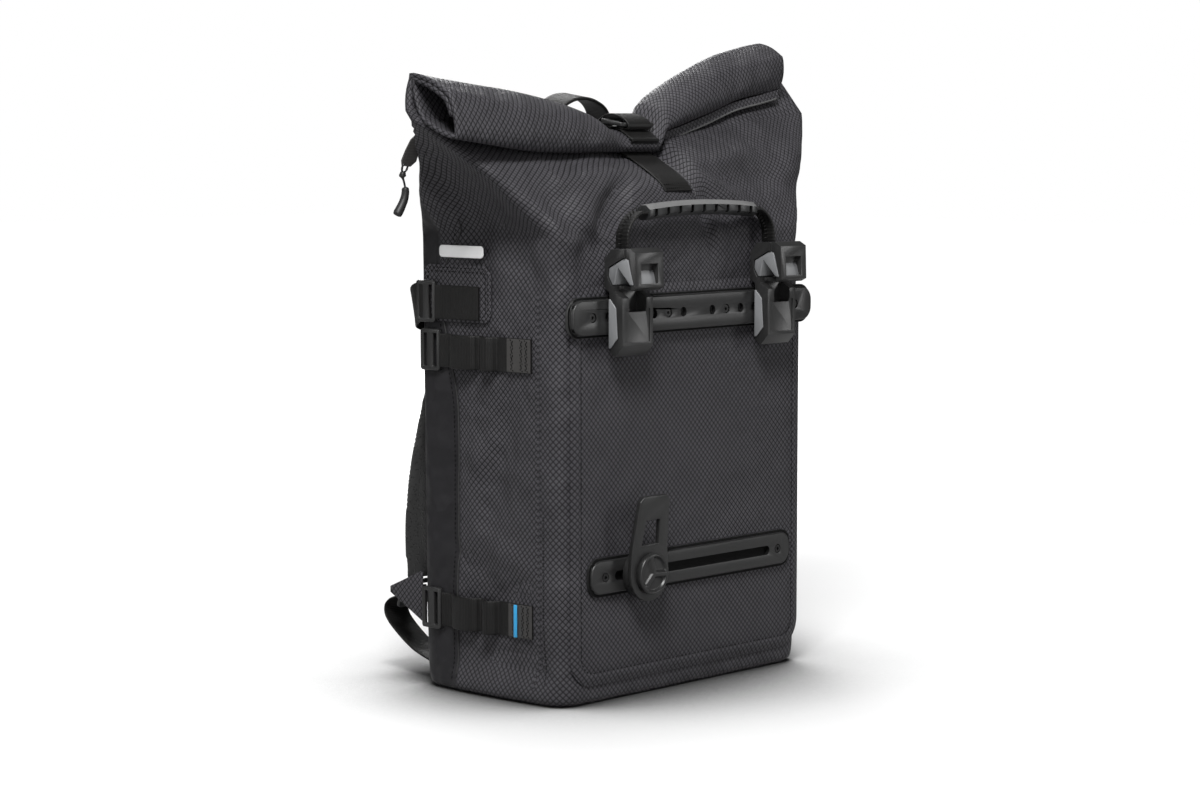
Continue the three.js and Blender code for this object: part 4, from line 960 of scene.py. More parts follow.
def makeBag(material):
    body, sleeve, inside = bagGrid()
    shape = body.shape
    body = folded(body.reshape(-1, 3)).reshape(shape)
    normal = gridNormals(body)
    inner = body - normal * bag["wall"]
    inner[:, :, 2] = np.maximum(inner[:, :, 2], bag["wall"])
    body = wrinkled(body)
    body[:, :, 2] = np.maximum(body[:, :, 2], 0.0)
    outer = np.concatenate([body, sleeve])
    inner = np.concatenate([inner[::3], inside[::2]])
    n = outer.shape[1]
    perimeter = 2 * (halfWidth + halfDepth) * 2
    u = np.linspace(-perimeter / 2, perimeter / 2, n + 1)
    steps = np.linalg.norm(np.diff(outer, axis=0), axis=2).mean(1)
    v = np.concatenate([[0.0], np.cumsum(steps)])
    points = np.concatenate([outer.reshape(-1, 3), inner[::-1].reshape(-1, 3)]) * mm
    rows, rowsIn = len(outer), len(inner)
    faces, uv = ringWalls(rows + rowsIn, n), []
    vIn = np.interp(np.linspace(0, 1, rowsIn), np.linspace(0, 1, rows), v)[::-1]
    vs = np.concatenate([v, vIn])
    for i in range(rows + rowsIn - 1):
        for k in range(n):
            uv.extend([(u[k] * mm, vs[i] * mm), (u[k + 1] * mm, vs[i] * mm),
                       (u[k + 1] * mm, vs[i + 1] * mm), (u[k] * mm, vs[i + 1] * mm)])
    last = rows + rowsIn - 1
    for row in (0, last):
        # the floor of the bag, as strips between its left and right halves
        ring = [row * n + k for k in range(n)]
        half = n // 2
        for k in range(half):
            quad = [ring[k], ring[k + 1], ring[n - 1 - k], ring[(n - k) % n]]
            if k == 0:
                quad = [ring[0], ring[1], ring[n - 1]]
            if len(set(quad)) < 3:
                continue
            faces.append(tuple(dict.fromkeys(quad)))
            uv.extend([(points[q][0], points[q][1]) for q in faces[-1]])
    piece = makePiece("bag_cloth", points, faces, material, "bag", ("bag_shell",), uv)
    turnOut(piece)
    plain = piece.data.attributes.new("plain", "FLOAT", "POINT")
    deep, high = points[:, 1] / mm, points[:, 2] / mm
    edge = 33.0 + 16.0 * smoothStep(high, 210.0, 330.0)
    level = smoothStep(deep - edge, -1.5, 1.5) * (1 - smoothStep(high, 380.5, 384.0))
    plain.data.foreach_set("value", level.astype(np.float32))
    return piece, outer


makeCamera()
makeLamps()
makeWorld()
scene.view_settings.view_transform = "Standard"
scene.view_settings.look = "None"

shellCloth = ripstopCloth("ripstop_shell", plainMask="plain")
panelCloth = ripstopCloth("ripstop_panel")
strapWeb = webbingCloth("webbing_black")
ribbedWeb = webbingCloth("webbing_ribbed", rib=2.6 * mm, strength=1.0)
blackPlastic = mouldedPlastic("moulded_black")
hookPlastic = mouldedPlastic("moulded_hook", level=0.020, rough=0.34, specular=0.55)
softBlack = mouldedPlastic("moulded_soft", level=0.013, rough=0.5)
gripRubber = mouldedPlastic("moulded_grip", level=0.022, rough=0.33, tint=(0.98, 1.0, 1.02), specular=0.5)
# light grey copy of the grip plastic: a painted highlight on the grip's upward faces
gripPaintedHighlight = mouldedPlastic("moulded_grip_painted_highlight", level=0.15, rough=0.34, specular=0.5)
# near-black plastic: painted shade inside slots and holes
slotPaintedShade = mouldedPlastic("moulded_slot_painted_shade", level=0.004, rough=0.7, specular=0.1)
threadDark = mouldedPlastic("thread_dark", level=0.004, rough=0.8, grain=0.6, specular=0.1)
threadLight = mouldedPlastic("thread_light", level=0.11, rough=0.75, grain=0.6, specular=0.15)
hemCloth = mouldedPlastic("hem_cloth", level=0.10, rough=0.6, grain=0.6, specular=0.15)
edgeCloth = mouldedPlastic("piping_cloth", level=0.036, rough=0.6, grain=0.6, specular=0.15)
patchWeb = webbingCloth("webbing_grey", level=0.042, rib=1.1 * mm, strength=0.5)
greyPlastic = mouldedPlastic("moulded_grey", level=0.19, rough=0.42, tint=(0.98, 1.0, 1.03))
steel = brushedSteel("steel_plain")
tape = reflectiveTape("reflective_tape")
blueTape = tagTape("tag_tape")
mesh3d = spacerMesh("spacer_mesh")
print("materials made")

bagPiece, bagRows = makeBag(shellCloth)
bagTree = rayTree(bagPiece)
print("bag cloth made:", len(bagPiece.data.polygons), "faces")


# Front panel
panelSet = {
    "wide": 258.0, "low": 14.0, "high": 305.0, "corner": 22.0,
    "back": -75.8, "thick": 2.0, "slope": 7.0,
    "seamIn": 9.5, "seamDeep": 0.35, "seamWide": 1.4,
}


def roundedOutline(left, right, low, high, corner, perCorner=10):
    points = []
    spots = [(right - corner, low + corner, -90), (right - corner, high - corner, 0),
             (left + corner, high - corner, 90), (left + corner, low + corner, 180)]
    for x, y, first in spots:
        for k in range(perCorner + 1):
            a = math.radians(first + 90 * k / perCorner)
            points.append((x + corner * math.cos(a), y + corner * math.sin(a)))
    return points


def plateRings(outline, inset):
    left, right, low, high, corner = outline
    return roundedOutline(left + inset, right - inset, low + inset, high - inset,
                          max(corner - inset, 0.5))


def makePanel():
    s = panelSet
    outline = (-s["wide"] / 2, s["wide"] / 2, s["low"], s["high"], s["corner"])
    face = s["back"] - s["thick"]
    # inset, y
    profile = [(0.3, s["back"]), (0.0, s["back"] - 0.15)]
    for k in range(1, 9):
        t = k / 8
        rise = (s["thick"] - 0.15) * math.sin(math.pi / 2 * t) ** 1.3
        profile.append((s["slope"] * t, s["back"] - 0.15 - rise))
    wide, deep = s["seamWide"], s["seamDeep"]
    groove = [(-wide, 0.0), (-wide * 0.4, deep * 0.8), (0.0, deep), (wide * 0.4, deep * 0.8),
              (wide, 0.0), (12, 0.0)]
    profile += [(s["seamIn"] + across, face + sunk) for across, sunk in groove]
    points = []
    for inset, y in profile:
        points += [(x * mm, y * mm, z * mm) for x, z in plateRings(outline, inset)]
    n = len(points) // len(profile)
    faces = ringWalls(len(profile), n) + ringEnds(len(profile), n)
    uv = [(points[q][0], points[q][2]) for f in faces for q in f]
    turnOut(makePiece("panel_cloth", points, faces, panelCloth, "bag",
                      ("front_panel",), uv), 60)


makePanel()
print("front panel made")


# Rails, hooks, knob: moulded solids
# the inner faces of the rails' holes and slots get a near-black material as painted shade: node, half
# length, low, high and depth of the painted shade
railPaintedShade = {"upper_rail": (133.0, 273.5, 292.5, -80.5), "lower_rail": (111.0, 83.0, 104.0, -81.0)}
for node, (reach, low, high, deep) in railPaintedShade.items():
    rail = moulded(node, blackPlastic, "bag", bevel=0.6)
    rail.data.materials.append(slotPaintedShade)
    for face in rail.data.polygons:
        x, y, z = (c / mm for c in face.center)
        inside = abs(x) < reach and low < z < high
        if inside and (abs(face.normal.y) < 0.5 or (face.normal.y < 0 and y > deep)):
            face.material_index = 1
for side in ("left", "right"):
    moulded(f"hook_{side}_body", hookPlastic, "bag", bevel=0.9, segments=3)
    moulded(f"hook_{side}_liner", greyPlastic, "bag", bevel=0.6)
    moulded(f"hook_{side}_latch", softBlack, f"latch_{side}", bevel=0.4)
    for face in ("left", "right"):
        moulded(f"hook_{side}_insert_{face}", greyPlastic, "bag", bevel=0.5)
    moulded(f"harness_lock_{side}", blackPlastic, "bag", bevel=0.8)
    for level in ("upper", "middle", "lower"):
        moulded(f"side_lock_{level}_{side}", blackPlastic, "bag", bevel=0.8)
moulded("closure_buckle", blackPlastic, "bag", bevel=0.9)
# the grip's slots get a near-black material inside as painted shade, and its upward faces a light grey one
# as a painted highlight
gripSet = {"long": 121.0, "arch": 3.0, "top": 360.0, "tall": 11.0, "slots": 9, "slotSpan": 0.88,
           "slotWide": 3.0, "slotFront": -80.5, "slotArea": 60e-6}
grip = moulded("handle_grip", gripRubber, "bag", bevel=0.7)
grip.data.materials.append(slotPaintedShade)
grip.data.materials.append(gripPaintedHighlight)
gripSlots = [(k / (gripSet["slots"] - 1) - 0.5) * gripSet["slotSpan"] * gripSet["long"]
             for k in range(gripSet["slots"])]
for face in grip.data.polygons:
    x, y, z = (c / mm for c in face.center)
    arc = gripSet["top"] - gripSet["arch"] * (2 * x / gripSet["long"]) ** 2
    inSlot = min(abs(x - at) for at in gripSlots) < gripSet["slotWide"] / 2 + 0.12
    inSlot = inSlot and abs(z - arc + 0.6) < gripSet["tall"] * 0.36
    # the slots' inner faces: painted shade
    if inSlot and y < gripSet["slotFront"] and face.area < gripSet["slotArea"]:
        face.material_index = 1
    # faces turned upwards get the painted highlight
    elif face.normal.z > 0.45:
        face.material_index = 2
moulded("lower_hook_slider", softBlack, "lower_slider", bevel=0.4)
moulded("lower_hook_arm", blackPlastic, "lower_arm", bevel=0.5)

# the knob: a shallow crown with three broad hollows between narrow ridges
knobSet = {"x": -62.0, "z": 93.4, "radius": 15.2, "front": -98.1, "back": -92.9,
           "ridges": (105.0, -5.0, 225.0), "ridgeHalf": 0.9, "slope": 2.6, "hollow": 2.3, "rim": 1.8, "rings": 30, "around": 96}


def knobHeight(radius, angle):
    s = knobSet
    off = min(abs((angle - ridge + 180.0) % 360.0 - 180.0) for ridge in s["ridges"])
    beside = radius * math.sin(math.radians(min(off, 90.0)))
    sunk = float(smoothStep(beside, s["ridgeHalf"], s["ridgeHalf"] + s["slope"]))
    sunk *= 1.0 - float(smoothStep(radius, s["radius"] - s["rim"] - 1.8, s["radius"] - s["rim"]))
    edge = max(0.0, radius - (s["radius"] - 1.0))
    return s["front"] + 0.5 * (radius / s["radius"]) ** 2 + sunk * s["hollow"] + 0.9 * edge ** 2


def makeKnob():
    s = knobSet
    points = [(s["x"], knobHeight(0.0, 0.0), s["z"])]
    spots = [(k / s["rings"] * s["radius"], None) for k in range(1, s["rings"] + 1)]
    spots += [(s["radius"], s["back"] - 0.4), (s["radius"] - 0.4, s["back"])]
    n = s["around"]
    for radius, y in spots:
        for k in range(n):
            turn = 360.0 * k / n
            a = math.radians(turn)
            points.append((s["x"] + radius * math.cos(a), knobHeight(radius, turn) if y is None else y,
                           s["z"] + radius * math.sin(a)))
    faces = [(0, 1 + k, 1 + (k + 1) % n) for k in range(n)]
    for i in range(len(spots) - 1):
        for k in range(n):
            j = (k + 1) % n
            faces.append((1 + i * n + k, 1 + (i + 1) * n + k, 1 + (i + 1) * n + j, 1 + i * n + j))
    first = 1 + (len(spots) - 1) * n
    faces.append(tuple(range(first, first + n)))
    turnOut(makePiece("knob_moulded", [(x * mm, y * mm, z * mm) for x, y, z in points], faces, blackPlastic,
                      "lower_knob", ("lower_hook_knob",)))


makeKnob()
moulded("blue_tag", blueTape, "bag", bevel=0.35)
for name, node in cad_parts.items():
    if "_screw_" in name:
        node.data.materials.clear()
        node.data.materials.append(steel)
print("moulded parts made")


# Straps and webbing
webThick = 1.6
seatGap = 0.3
strapLift = webThick / 2 + seatGap
backCentre, frontCentre = 0, bag["columnsPerHalf"] * 2 + 1


def centreLine(column):
    return [(p[1], p[2]) for p in bagRows[:, column]]


def offCloth(line, height, lift, facing):
    # a point on the cloth's middle line at one height, lifted off it
    pts = [q for q in line if 300 <= q[1] <= bag["neck"] + 12][:48]
    i = max(k for k in range(len(pts) - 1) if pts[k][1] <= height or k == 0)
    (ya, za), (yb, zb) = pts[i], pts[i + 1]
    t = min(max((height - za) / (zb - za), 0.0), 1.0)
    size = math.hypot(yb - ya, zb - za)
    ty, tz = (yb - ya) / size, (zb - za) / size
    return (ya + (yb - ya) * t + facing * tz * lift, height - facing * ty * lift)


def overRoll(turned, slack=0.1):
    y, z, ny, nz, _ = rollPoint(0.0, turned)
    lift = sleeveHalf + strapLift + slack
    return (y + ny * lift, z + nz * lift)


def inPlane(path):
    return [(0.0, y * mm, z * mm) for y, z in path]


closureWide = 30.5
frontLine, backLine = centreLine(frontCentre), centreLine(backCentre)
frontPath = [offCloth(frontLine, z, strapLift, -1) for z in (371.0, 374.5, 378.0, 382.0, 386.0, 390.0)]
frontPath += [offCloth(frontLine, z, strapLift + more, -1) for z, more in ((394.0, 0.6), (398.0, 1.4))]
frontPath += [overRoll(220, 0.6), overRoll(205, 0.3)] + [overRoll(t) for t in (190, 175, 160, 144)]
rearPath = [overRoll(t) for t in (132, 120, 110, 97, 85, 72, 60, 45, 30)]
rearPath += [offCloth(backLine, z, strapLift + more, 1)
             for z, more in ((398.0, 0.6), (390.0, 0.4), (384.0, 0.2))]
for end, path in (("front", frontPath), ("rear", rearPath)):
    band(f"closure_webbing_{end}", spline(inPlane(path), 5), (1, 0, 0), closureWide * mm, webThick * mm,
         strapWeb, replaces=(f"closure_strap_{end}",))

# haul loop behind the roll: x in shares of its half width, out of half depth, up of the neck height
haul = {"half": 37.0, "wide": 25.0, "thick": 2.5}
haulRun = [(-1.00, 0.72, 0.945), (-0.98, 0.66, 0.990), (-0.90, 0.60, 1.036), (-0.70, 0.58, 1.074),
           (-0.38, 0.58, 1.092), (0.00, 0.58, 1.098)]
haulRun += [(-x, out, up) for x, out, up in reversed(haulRun[:-1])]
haulPath = [(x * haul["half"] * mm, out * halfDepth * mm, up * bag["neck"] * mm)
            for x, out, up in haulRun]
band("haul_webbing", spline(haulPath, 6), (0, 1, 0.15), haul["wide"] * mm, haul["thick"] * mm, strapWeb,
     replaces=("haul_loop",))

# side straps: forward in shares of half depth, lift in shares of the loop's height
sideBand = {"wide": 25.0, "loopLift": 8.0, "sideFace": 137.315, "trim": 0.9}
loopRows = [(0.60, 0), (0.40, 0), (0.20, 0), (0.15, 0.05), (0.12, 0.50), (0.08, 0.86), (0.03, 0.90),
            (-0.01, 0.62), (-0.04, 0.12), (-0.08, 0), (-0.11, 0.10), (-0.14, 0.55), (-0.20, 0.82),
            (-0.30, 0.88), (-0.39, 0.78), (-0.45, 0.45), (-0.49, 0.10), (-0.54, 0), (-0.62, 0.30)]
plainRows = [(-0.08, 0), (-0.30, 0), (-0.55, 0), (-0.65, 0.35)]
sideStraps = {
    "upper": (278.0, plainRows, sideBand["sideFace"] + 1.5),
    "middle": (242.0, loopRows, halfWidth + seatGap),
    "lower": (48.0, loopRows, halfWidth * 0.993 + seatGap),
}
for level, (low, rows, seat) in sideStraps.items():
    for name, side in bothSides:
        middle = (low + sideBand["wide"] / 2) * mm
        path = [(side * (seat + webThick / 2 + lift * sideBand["loopLift"]) * mm,
                 -forward * halfDepth * mm, middle) for forward, lift in rows]
        band(f"side_webbing_{level}_{name}", spline(path, 5), (0, 0, 1), sideBand["wide"] * mm,
             webThick * mm, strapWeb, replaces=(f"side_strap_{level}_{name}",))

# handle webbing from the grip's ends down to the hooks
handleRuns = {}
handle = {"end": 60.8, "hook": 81.5, "y": -83.5, "top": 357.0, "foot": 332.18, "wide": 12.0,
          "thick": 2.2}
for name, side in bothSides:
    s = handle
    reach = s["hook"] - s["end"]
    rise = s["top"] - s["foot"]
    run = [(s["end"], s["top"]), (s["end"] + reach * 0.35, s["top"]),
           (s["end"] + reach * 0.75, s["foot"] + rise * 0.78), (s["end"] + reach, s["foot"] + rise * 0.45),
           (s["end"] + reach * 1.05, s["foot"])]
    path = [(side * x * mm, s["y"] * mm, z * mm) for x, z in run]
    handleRuns[name] = spline(path, 8)
    band(f"handle_band_{name}", handleRuns[name], (0, 1, 0), s["wide"] * mm, s["thick"] * mm, ribbedWeb,
         replaces=(f"handle_webbing_{name}",))

# harness webbing from the ladder lock out and back to the bag's foot
harness = {"x": 108.0, "wide": 25.0, "lean": 22.0, "lockThick": 3.2, "padThick": 9.0}
strapEndOff, strapEndUp = 3.05, 0.250
lockY = halfDepth + (strapEndOff + 0.65) * harness["padThick"]
lockZ = strapEndUp * bag["shoulder"] - 11.2


def overLock(down):
    c, s = math.cos(math.radians(harness["lean"])), math.sin(math.radians(harness["lean"]))
    out = harness["lockThick"] / 2 + seatGap + webThick / 2
    return (lockY + out * c + down * s, lockZ + out * s - down * c)


harnessRun = [(5.50, 0.193), (6.15, 0.168), (5.60, 0.132), (2.90, 0.075), (0.08, 0.045)]
harnessPath = [overLock(-4), overLock(2)] + [
    (halfDepth + off * harness["padThick"], up * bag["shoulder"]) for off, up in harnessRun]
for name, side in bothSides:
    path = [(side * harness["x"] * mm, y * mm, z * mm) for y, z in harnessPath]
    band(f"harness_band_{name}", spline(path, 6), (1, 0, 0), harness["wide"] * mm, webThick * mm,
         strapWeb, replaces=(f"harness_webbing_{name}",))
print("webbing made")


# Side trim
def sidePad(name, node, front, back, low, high, corner, thick, crown, material, edge=0.4):
    # plate on the bag's side with a welded border and a softly raised middle
    for label, side in bothSides:
        lo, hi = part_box(f"{node}_{label}")
        inner = (hi.x if side < 0 else lo.x) / mm
        outerX = inner + side * thick
        outline = (front, back, low, high, corner)
        border = 4.0 if crown else 1.2
        profile = [(0.0, inner), (0.0, outerX - side * edge), (edge, outerX)]
        if crown:
            profile += [(border, outerX), (border + 1.2, outerX - side * 0.25), (border + 3.0, outerX),
                        (border + 6.0, outerX)]
        else:
            profile += [(border, outerX)]
        points = []
        for inset, x in profile:
            points += [(x * mm, y * mm, z * mm) for y, z in plateRings(outline, inset)]
        n = len(points) // len(profile)
        faces = ringWalls(len(profile), n) + ringEnds(len(profile), n)
        uv = [(points[q][1], points[q][2]) for f in faces for q in f]
        piece = makePiece(f"{name}_{label}", points, faces, material, "bag",
                          (f"{node}_{label}",), uv)
        turnOut(piece, 50)


sidePad("patch_pad", "side_patch", -4.5, 66.0, 276.0, 318.0, 8.0, 0.9, True, panelCloth)
sidePad("reflective_tab", "reflective_strip", 3.0, 49.0, 323.5, 332.5, 3.0, 0.9, False, tape)


# Shoulder straps
# across of half width, off in pad thicknesses, up of the shoulder height, turn
pad = {"wide": 60.0, "thick": 9.0, "startWide": 0.93, "startThick": 0.62, "voxel": 3.0,
       "pressure": 3.0, "cap": 1.9, "stitchIn": 7.0}
padRun = [(0.36, 0.63, 1.110, 0.00), (0.41, 0.90, 1.040, 0.06), (0.50, 1.40, 0.940, 0.12),
          (0.60, 1.60, 0.820, 0.18), (0.68, 2.10, 0.680, 0.24), (0.72, 2.90, 0.530, 0.28),
          (0.73, 3.25, 0.390, 0.28), (0.73, 3.05, 0.250, 0.28)]


def backReach(up):
    return halfDepth * (1 + (standRows[-1][3] - 1) * min(max(up, 0.0), 1.0))


def padRings(side):
    run = np.array([(side * a * halfWidth, backReach(up) + off * pad["thick"],
                     up * bag["shoulder"], turn) for a, off, up, turn in padRun])
    fine = spline(run, 6)
    tangent, _ = runAlong(fine[:, :3])
    rings = []
    for p, t in zip(fine, tangent):
        across = np.array([side, -p[3], 0.0])
        across = unit(across - t * (across @ t))
        out = np.cross(t, across)
        ring = []
        for k in range(16):
            a = 2 * math.pi * k / 16
            c, s = math.cos(a), math.sin(a)
            w = pad["wide"] / 2 * pad["startWide"] * math.copysign(abs(c) ** 0.35, c)
            h = pad["thick"] / 2 * pad["startThick"] * math.copysign(abs(s) ** 0.6, s)
            ring.append(p[:3] + across * w + out * h)
        rings.append(ring)
    return np.array(rings)


def swollen(piece, voxel, pressure, cap):
    # filled cloth: the closed mesh is remeshed, then swells a little under pressure
    remesh = piece.modifiers.new("remesh", "REMESH")
    remesh.mode = "VOXEL"
    remesh.voxel_size = voxel * mm
    baked(piece)
    rest = np.array([v.co for v in piece.data.vertices])
    cloth = piece.modifiers.new("swell", "CLOTH")
    cloth.settings.use_pressure = True
    cloth.settings.uniform_pressure_force = pressure
    cloth.settings.effector_weights.gravity = 0.0
    cloth.settings.tension_stiffness = 25.0
    cloth.settings.compression_stiffness = 25.0
    cloth.point_cache.frame_start, cloth.point_cache.frame_end = 1, 20
    for step in range(1, 21):
        scene.frame_set(step)
    graph = bpy.context.evaluated_depsgraph_get()
    made = np.array([v.co for v in piece.evaluated_get(graph).data.vertices])
    piece.modifiers.clear()
    scene.frame_set(1)
    shift = made - rest
    shift[:, [0, 2]] = 0.0        # the padding swells outwards, its cut edges stay straight
    size = np.linalg.norm(shift, axis=1, keepdims=True)
    shift *= np.minimum(1.0, cap * mm / np.maximum(size, 1e-9))
    piece.data.vertices.foreach_set("co", (rest + shift).astype(np.float32).ravel())
    piece.data.update()
    eased = piece.modifiers.new("eased", "SMOOTH")
    eased.factor, eased.iterations = 0.5, 5
    baked(piece)


for name, side in bothSides:
    rings = padRings(side) * mm
    n = rings.shape[1]
    points = rings.reshape(-1, 3)
    faces = ringWalls(len(rings), n) + ringEnds(len(rings), n)
    piece = makePiece(f"shoulder_pad_{name}", points, faces, mesh3d, "bag",
                      (f"shoulder_strap_{name}",))
    turnOut(piece)
    swollen(piece, pad["voxel"], pad["pressure"], pad["cap"])
    smooth = piece.modifiers.new("smooth", "SUBSURF")
    smooth.levels = smooth.render_levels = 1
    baked(piece)
    piece.data.polygons.foreach_set("use_smooth", [True] * len(piece.data.polygons))
    # a row of stitches along each edge of the padding
    tree = rayTree(piece)
    middle = spline([(side * a * halfWidth, up * bag["shoulder"], turn) for a, _, up, turn in padRun], 8)
    runs = []
    for off in (-pad["wide"] / 2 + pad["stitchIn"], pad["wide"] / 2 - pad["stitchIn"]):
        run = [castOn(tree, ((x + off) * mm, farOff, z * mm), (0, -1, 0), 0.1)
               for x, z, _ in middle[3:-3]]
        runs.append([q for q in run if q is not None])
    stitched(f"pad_stitches_{name}", runs, threadLight, "seam")
print("shoulder straps made")

# wings of shell cloth
for name in ("left", "right"):
    wing = moulded(f"harness_wing_{name}", softBlack, "bag", bevel=0.5,
                   name=f"wing_cloth_{name}")
    layer = wing.data.uv_layers.new(name="cloth")
    for loop in wing.data.loops:
        co = wing.data.vertices[loop.vertex_index].co
        layer.data[loop.index].uv = (co.y, co.z)
    wing.data.materials.clear()
    wing.data.materials.append(panelCloth)
print("side trim made")


# zip tab, ring, cord and moulded pull at the left edge of the back; x, z on the plane y
zipSet = {"y": 36.0, "tabThick": 1.6}
tabOutline = [(-174.5, 414.0), (-179.6, 410.0), (-184.4, 402.5), (-188.2, 395.0), (-187.8, 391.2),
              (-181.0, 390.4), (-175.8, 394.0), (-172.5, 402.0)]
points = []
for back in (0.0, zipSet["tabThick"]):
    for x, z in tabOutline:
        points.append((x * mm, (zipSet["y"] - 3.0 + back + (x + 174) * -0.10) * mm, z * mm))
faces = ringEnds(2, len(tabOutline)) + ringWalls(2, len(tabOutline))
uv = [(points[q][0], points[q][2]) for f in faces for q in f]
turnOut(makePiece("zip_tab", points, faces, patchWeb, "bag", ("zip_slider",), uv,
                  smooth=False))
ringPath = [(-187.0, 33.8, 393.0), (-188.4, 34.4, 390.4), (-187.6, 35.6, 387.4), (-185.4, 36.0, 386.6),
            (-183.4, 35.4, 388.2), (-183.0, 34.2, 391.6)]
tube("zip_ring", spline(np.array(ringPath) * mm, 5), 0.8 * mm, blackPlastic)
cordPath = [(-186.2, 35.8, 387.0), (-186.6, 36.2, 383.6), (-185.2, 36.4, 380.0), (-184.2, 36.4, 376.6),
            (-184.0, 36.4, 374.0)]
cordRadii = np.array([2.3] * 3 + [2.6] * 2 + [1.3, 0.9] + [0.8] * 10)
tube("zip_cord", spline(np.array(cordPath) * mm, 4), cordRadii * mm, softBlack)
pullPath = [(-184.0, 36.4, 376.0), (-183.7, 36.4, 372.0), (-184.8, 36.6, 367.0), (-187.4, 36.8, 362.0),
            (-190.0, 37.0, 358.0), (-191.6, 37.0, 355.6)]
pullRadii = np.interp(np.linspace(0, 1, 26), [0.0, 0.08, 0.3, 0.8, 0.96, 1.0],
                      [1.7, 2.7, 2.9, 3.5, 3.2, 2.2])
tube("zip_pull_moulded", spline(np.array(pullPath) * mm, 5), pullRadii * mm, softBlack,
     sides=12, replaces=("zip_pull",))


# where the cloth's surface is, seen straight from the front or from a side, in millimetres
def onFront(x, z, lift=0.0):
    return castOn(bagTree, (x * mm, -farOff, z * mm), (0, 1, 0), lift)


def onSide(side, y, z, lift=0.0):
    return castOn(bagTree, (side * farOff, y * mm, z * mm), (-side, 0, 0), lift)


# seams of the sides: a flat welt near the front, piping where the plain back gusset begins
seamSet = {"weltY": -51.0, "stitchY": -56.0, "gussetY": 48.5, "gussetStitch": 53.0}
for label, side in bothSides:
    heights = np.linspace(12.0, 300.0, 60)
    welt = [onSide(side, seamSet["weltY"] + 6.0 * math.exp(-((z - 12) / 14.0) ** 2), z, 0.15)
            for z in heights]
    band(f"side_welt_{label}", welt, (0, 1, 0), 2.6 * mm, 0.7 * mm, panelCloth)
    run = [onSide(side, seamSet["stitchY"], z, 0.15) for z in heights if 16 < z < 140]
    stitched(f"side_stitches_{label}", [run], threadDark, "fine")
    tall = np.linspace(10.0, 352.0, 80)
    lean = [seamSet["gussetY"] - 15.5 * (1 - float(smoothStep(z, 210.0, 300.0)))
            - 22.0 * float(smoothStep(z, 300.0, 352.0)) for z in tall]
    piping = [onSide(side, y, z, 0.3) for y, z in zip(lean, tall)]
    tube(f"gusset_piping_{label}", piping, 0.6 * mm, edgeCloth)
    run = [onSide(side, y + 4.5, z, 0.15) for y, z in zip(lean, tall) if z < 345]
    stitched(f"gusset_stitches_{label}", [run], threadDark, "seam")

# seam across the back, where the plain cloth meets the ripstop
yoke = []
for x in np.linspace(-132.0, 132.0, 60):
    for z in np.arange(392.0, 330.0, -1.0):
        start = (x * mm, farOff, z * mm)
        bare = castOn(bagTree, start, (0, -1, 0))
        if bare is not None and bare[1] > 49.0 * mm:
            yoke.append(castOn(bagTree, start, (0, -1, 0), 0.3))
            break
yoke = spline(yoke[::4], 4)
tube("yoke_piping", yoke, 0.6 * mm, edgeCloth)
below = [q - np.array([0, 0, 4.0 * mm]) for q in yoke]
stitched("yoke_stitches", [below], threadDark, "seam")

# stitches of the panel's rim and the light dashed line beside the closure strap
rim = roundedOutline(-panelSet["wide"] / 2 + 9.5, panelSet["wide"] / 2 - 9.5, panelSet["low"] + 9.5,
                     panelSet["high"] - 9.5, panelSet["corner"] - 9.5, 6)
face = (panelSet["back"] - panelSet["thick"] + 0.1) * mm
run = [(x * mm, face, z * mm) for x, z in rim + rim[:1]]
stitched("panel_stitches", [run], threadDark, "seam")
run = [onFront(19.0 + 2.2 * math.sin((398 - z) / 12), z, 0.1) for z in np.linspace(398.0, 368.0, 16)]
stitched("closure_seam_stitches", [run], threadLight, "fine")

# stitched grey patches at the front ends of the side straps; border stitches of the padded patch
patchSet = {"front": -45.5, "back": -22.0, "thick": 0.7}
for level in ("middle", "lower"):
    low, rows, seat = sideStraps[level]
    middle = low + sideBand["wide"] / 2
    for label, side in bothSides:
        out = seat + webThick + patchSet["thick"] / 2 + 0.05
        path = [(side * out * mm, y * mm, middle * mm)
                for y in np.linspace(patchSet["front"], patchSet["back"], 9)]
        band(f"strap_patch_{level}_{label}", path, (0, 0, 1), (sideBand["wide"] - 0.8) * mm,
             patchSet["thick"] * mm, patchWeb)
        top = (out + patchSet["thick"] / 2 + 0.1) * mm
        runs = []
        for y in (-41.5, -36.5, -27.0):
            runs.append([(side * top, (y + (1.2 if k % 2 else -1.2)) * mm, (low + 1.6 + k * 1.3) * mm)
                         for k in range(18)])
        stitched(f"strap_patch_stitches_{level}_{label}", runs, threadDark, "fine")
low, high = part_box("side_patch_left")
for label, side in bothSides:
    face = side * (max(abs(low.x), abs(high.x)) + 0.1 * mm)
    runs = []
    for inset in (2.2, 5.0):
        ring = plateRings((-4.5, 66.0, 276.0, 318.0, 8.0), inset)
        runs.append([(face, y * mm, z * mm) for y, z in ring + ring[:1]])
    stitched(f"patch_stitches_{label}", runs, threadDark, "seam")

# sewn end of the closure strap
runs = []
for z in (372.6, 375.4):
    runs.append([onFront(x, z, strapLift + webThick * 0.45) for x in np.linspace(-13.0, 13.0, 8)])
stitched("closure_end_stitches", runs, threadDark, "fine")

# bold cross ribs on the handle webbing
for label, side in bothSides:
    run = handleRuns[label][3:-2]
    stitched(f"handle_ribs_{label}", [run], strapWeb, "rib")

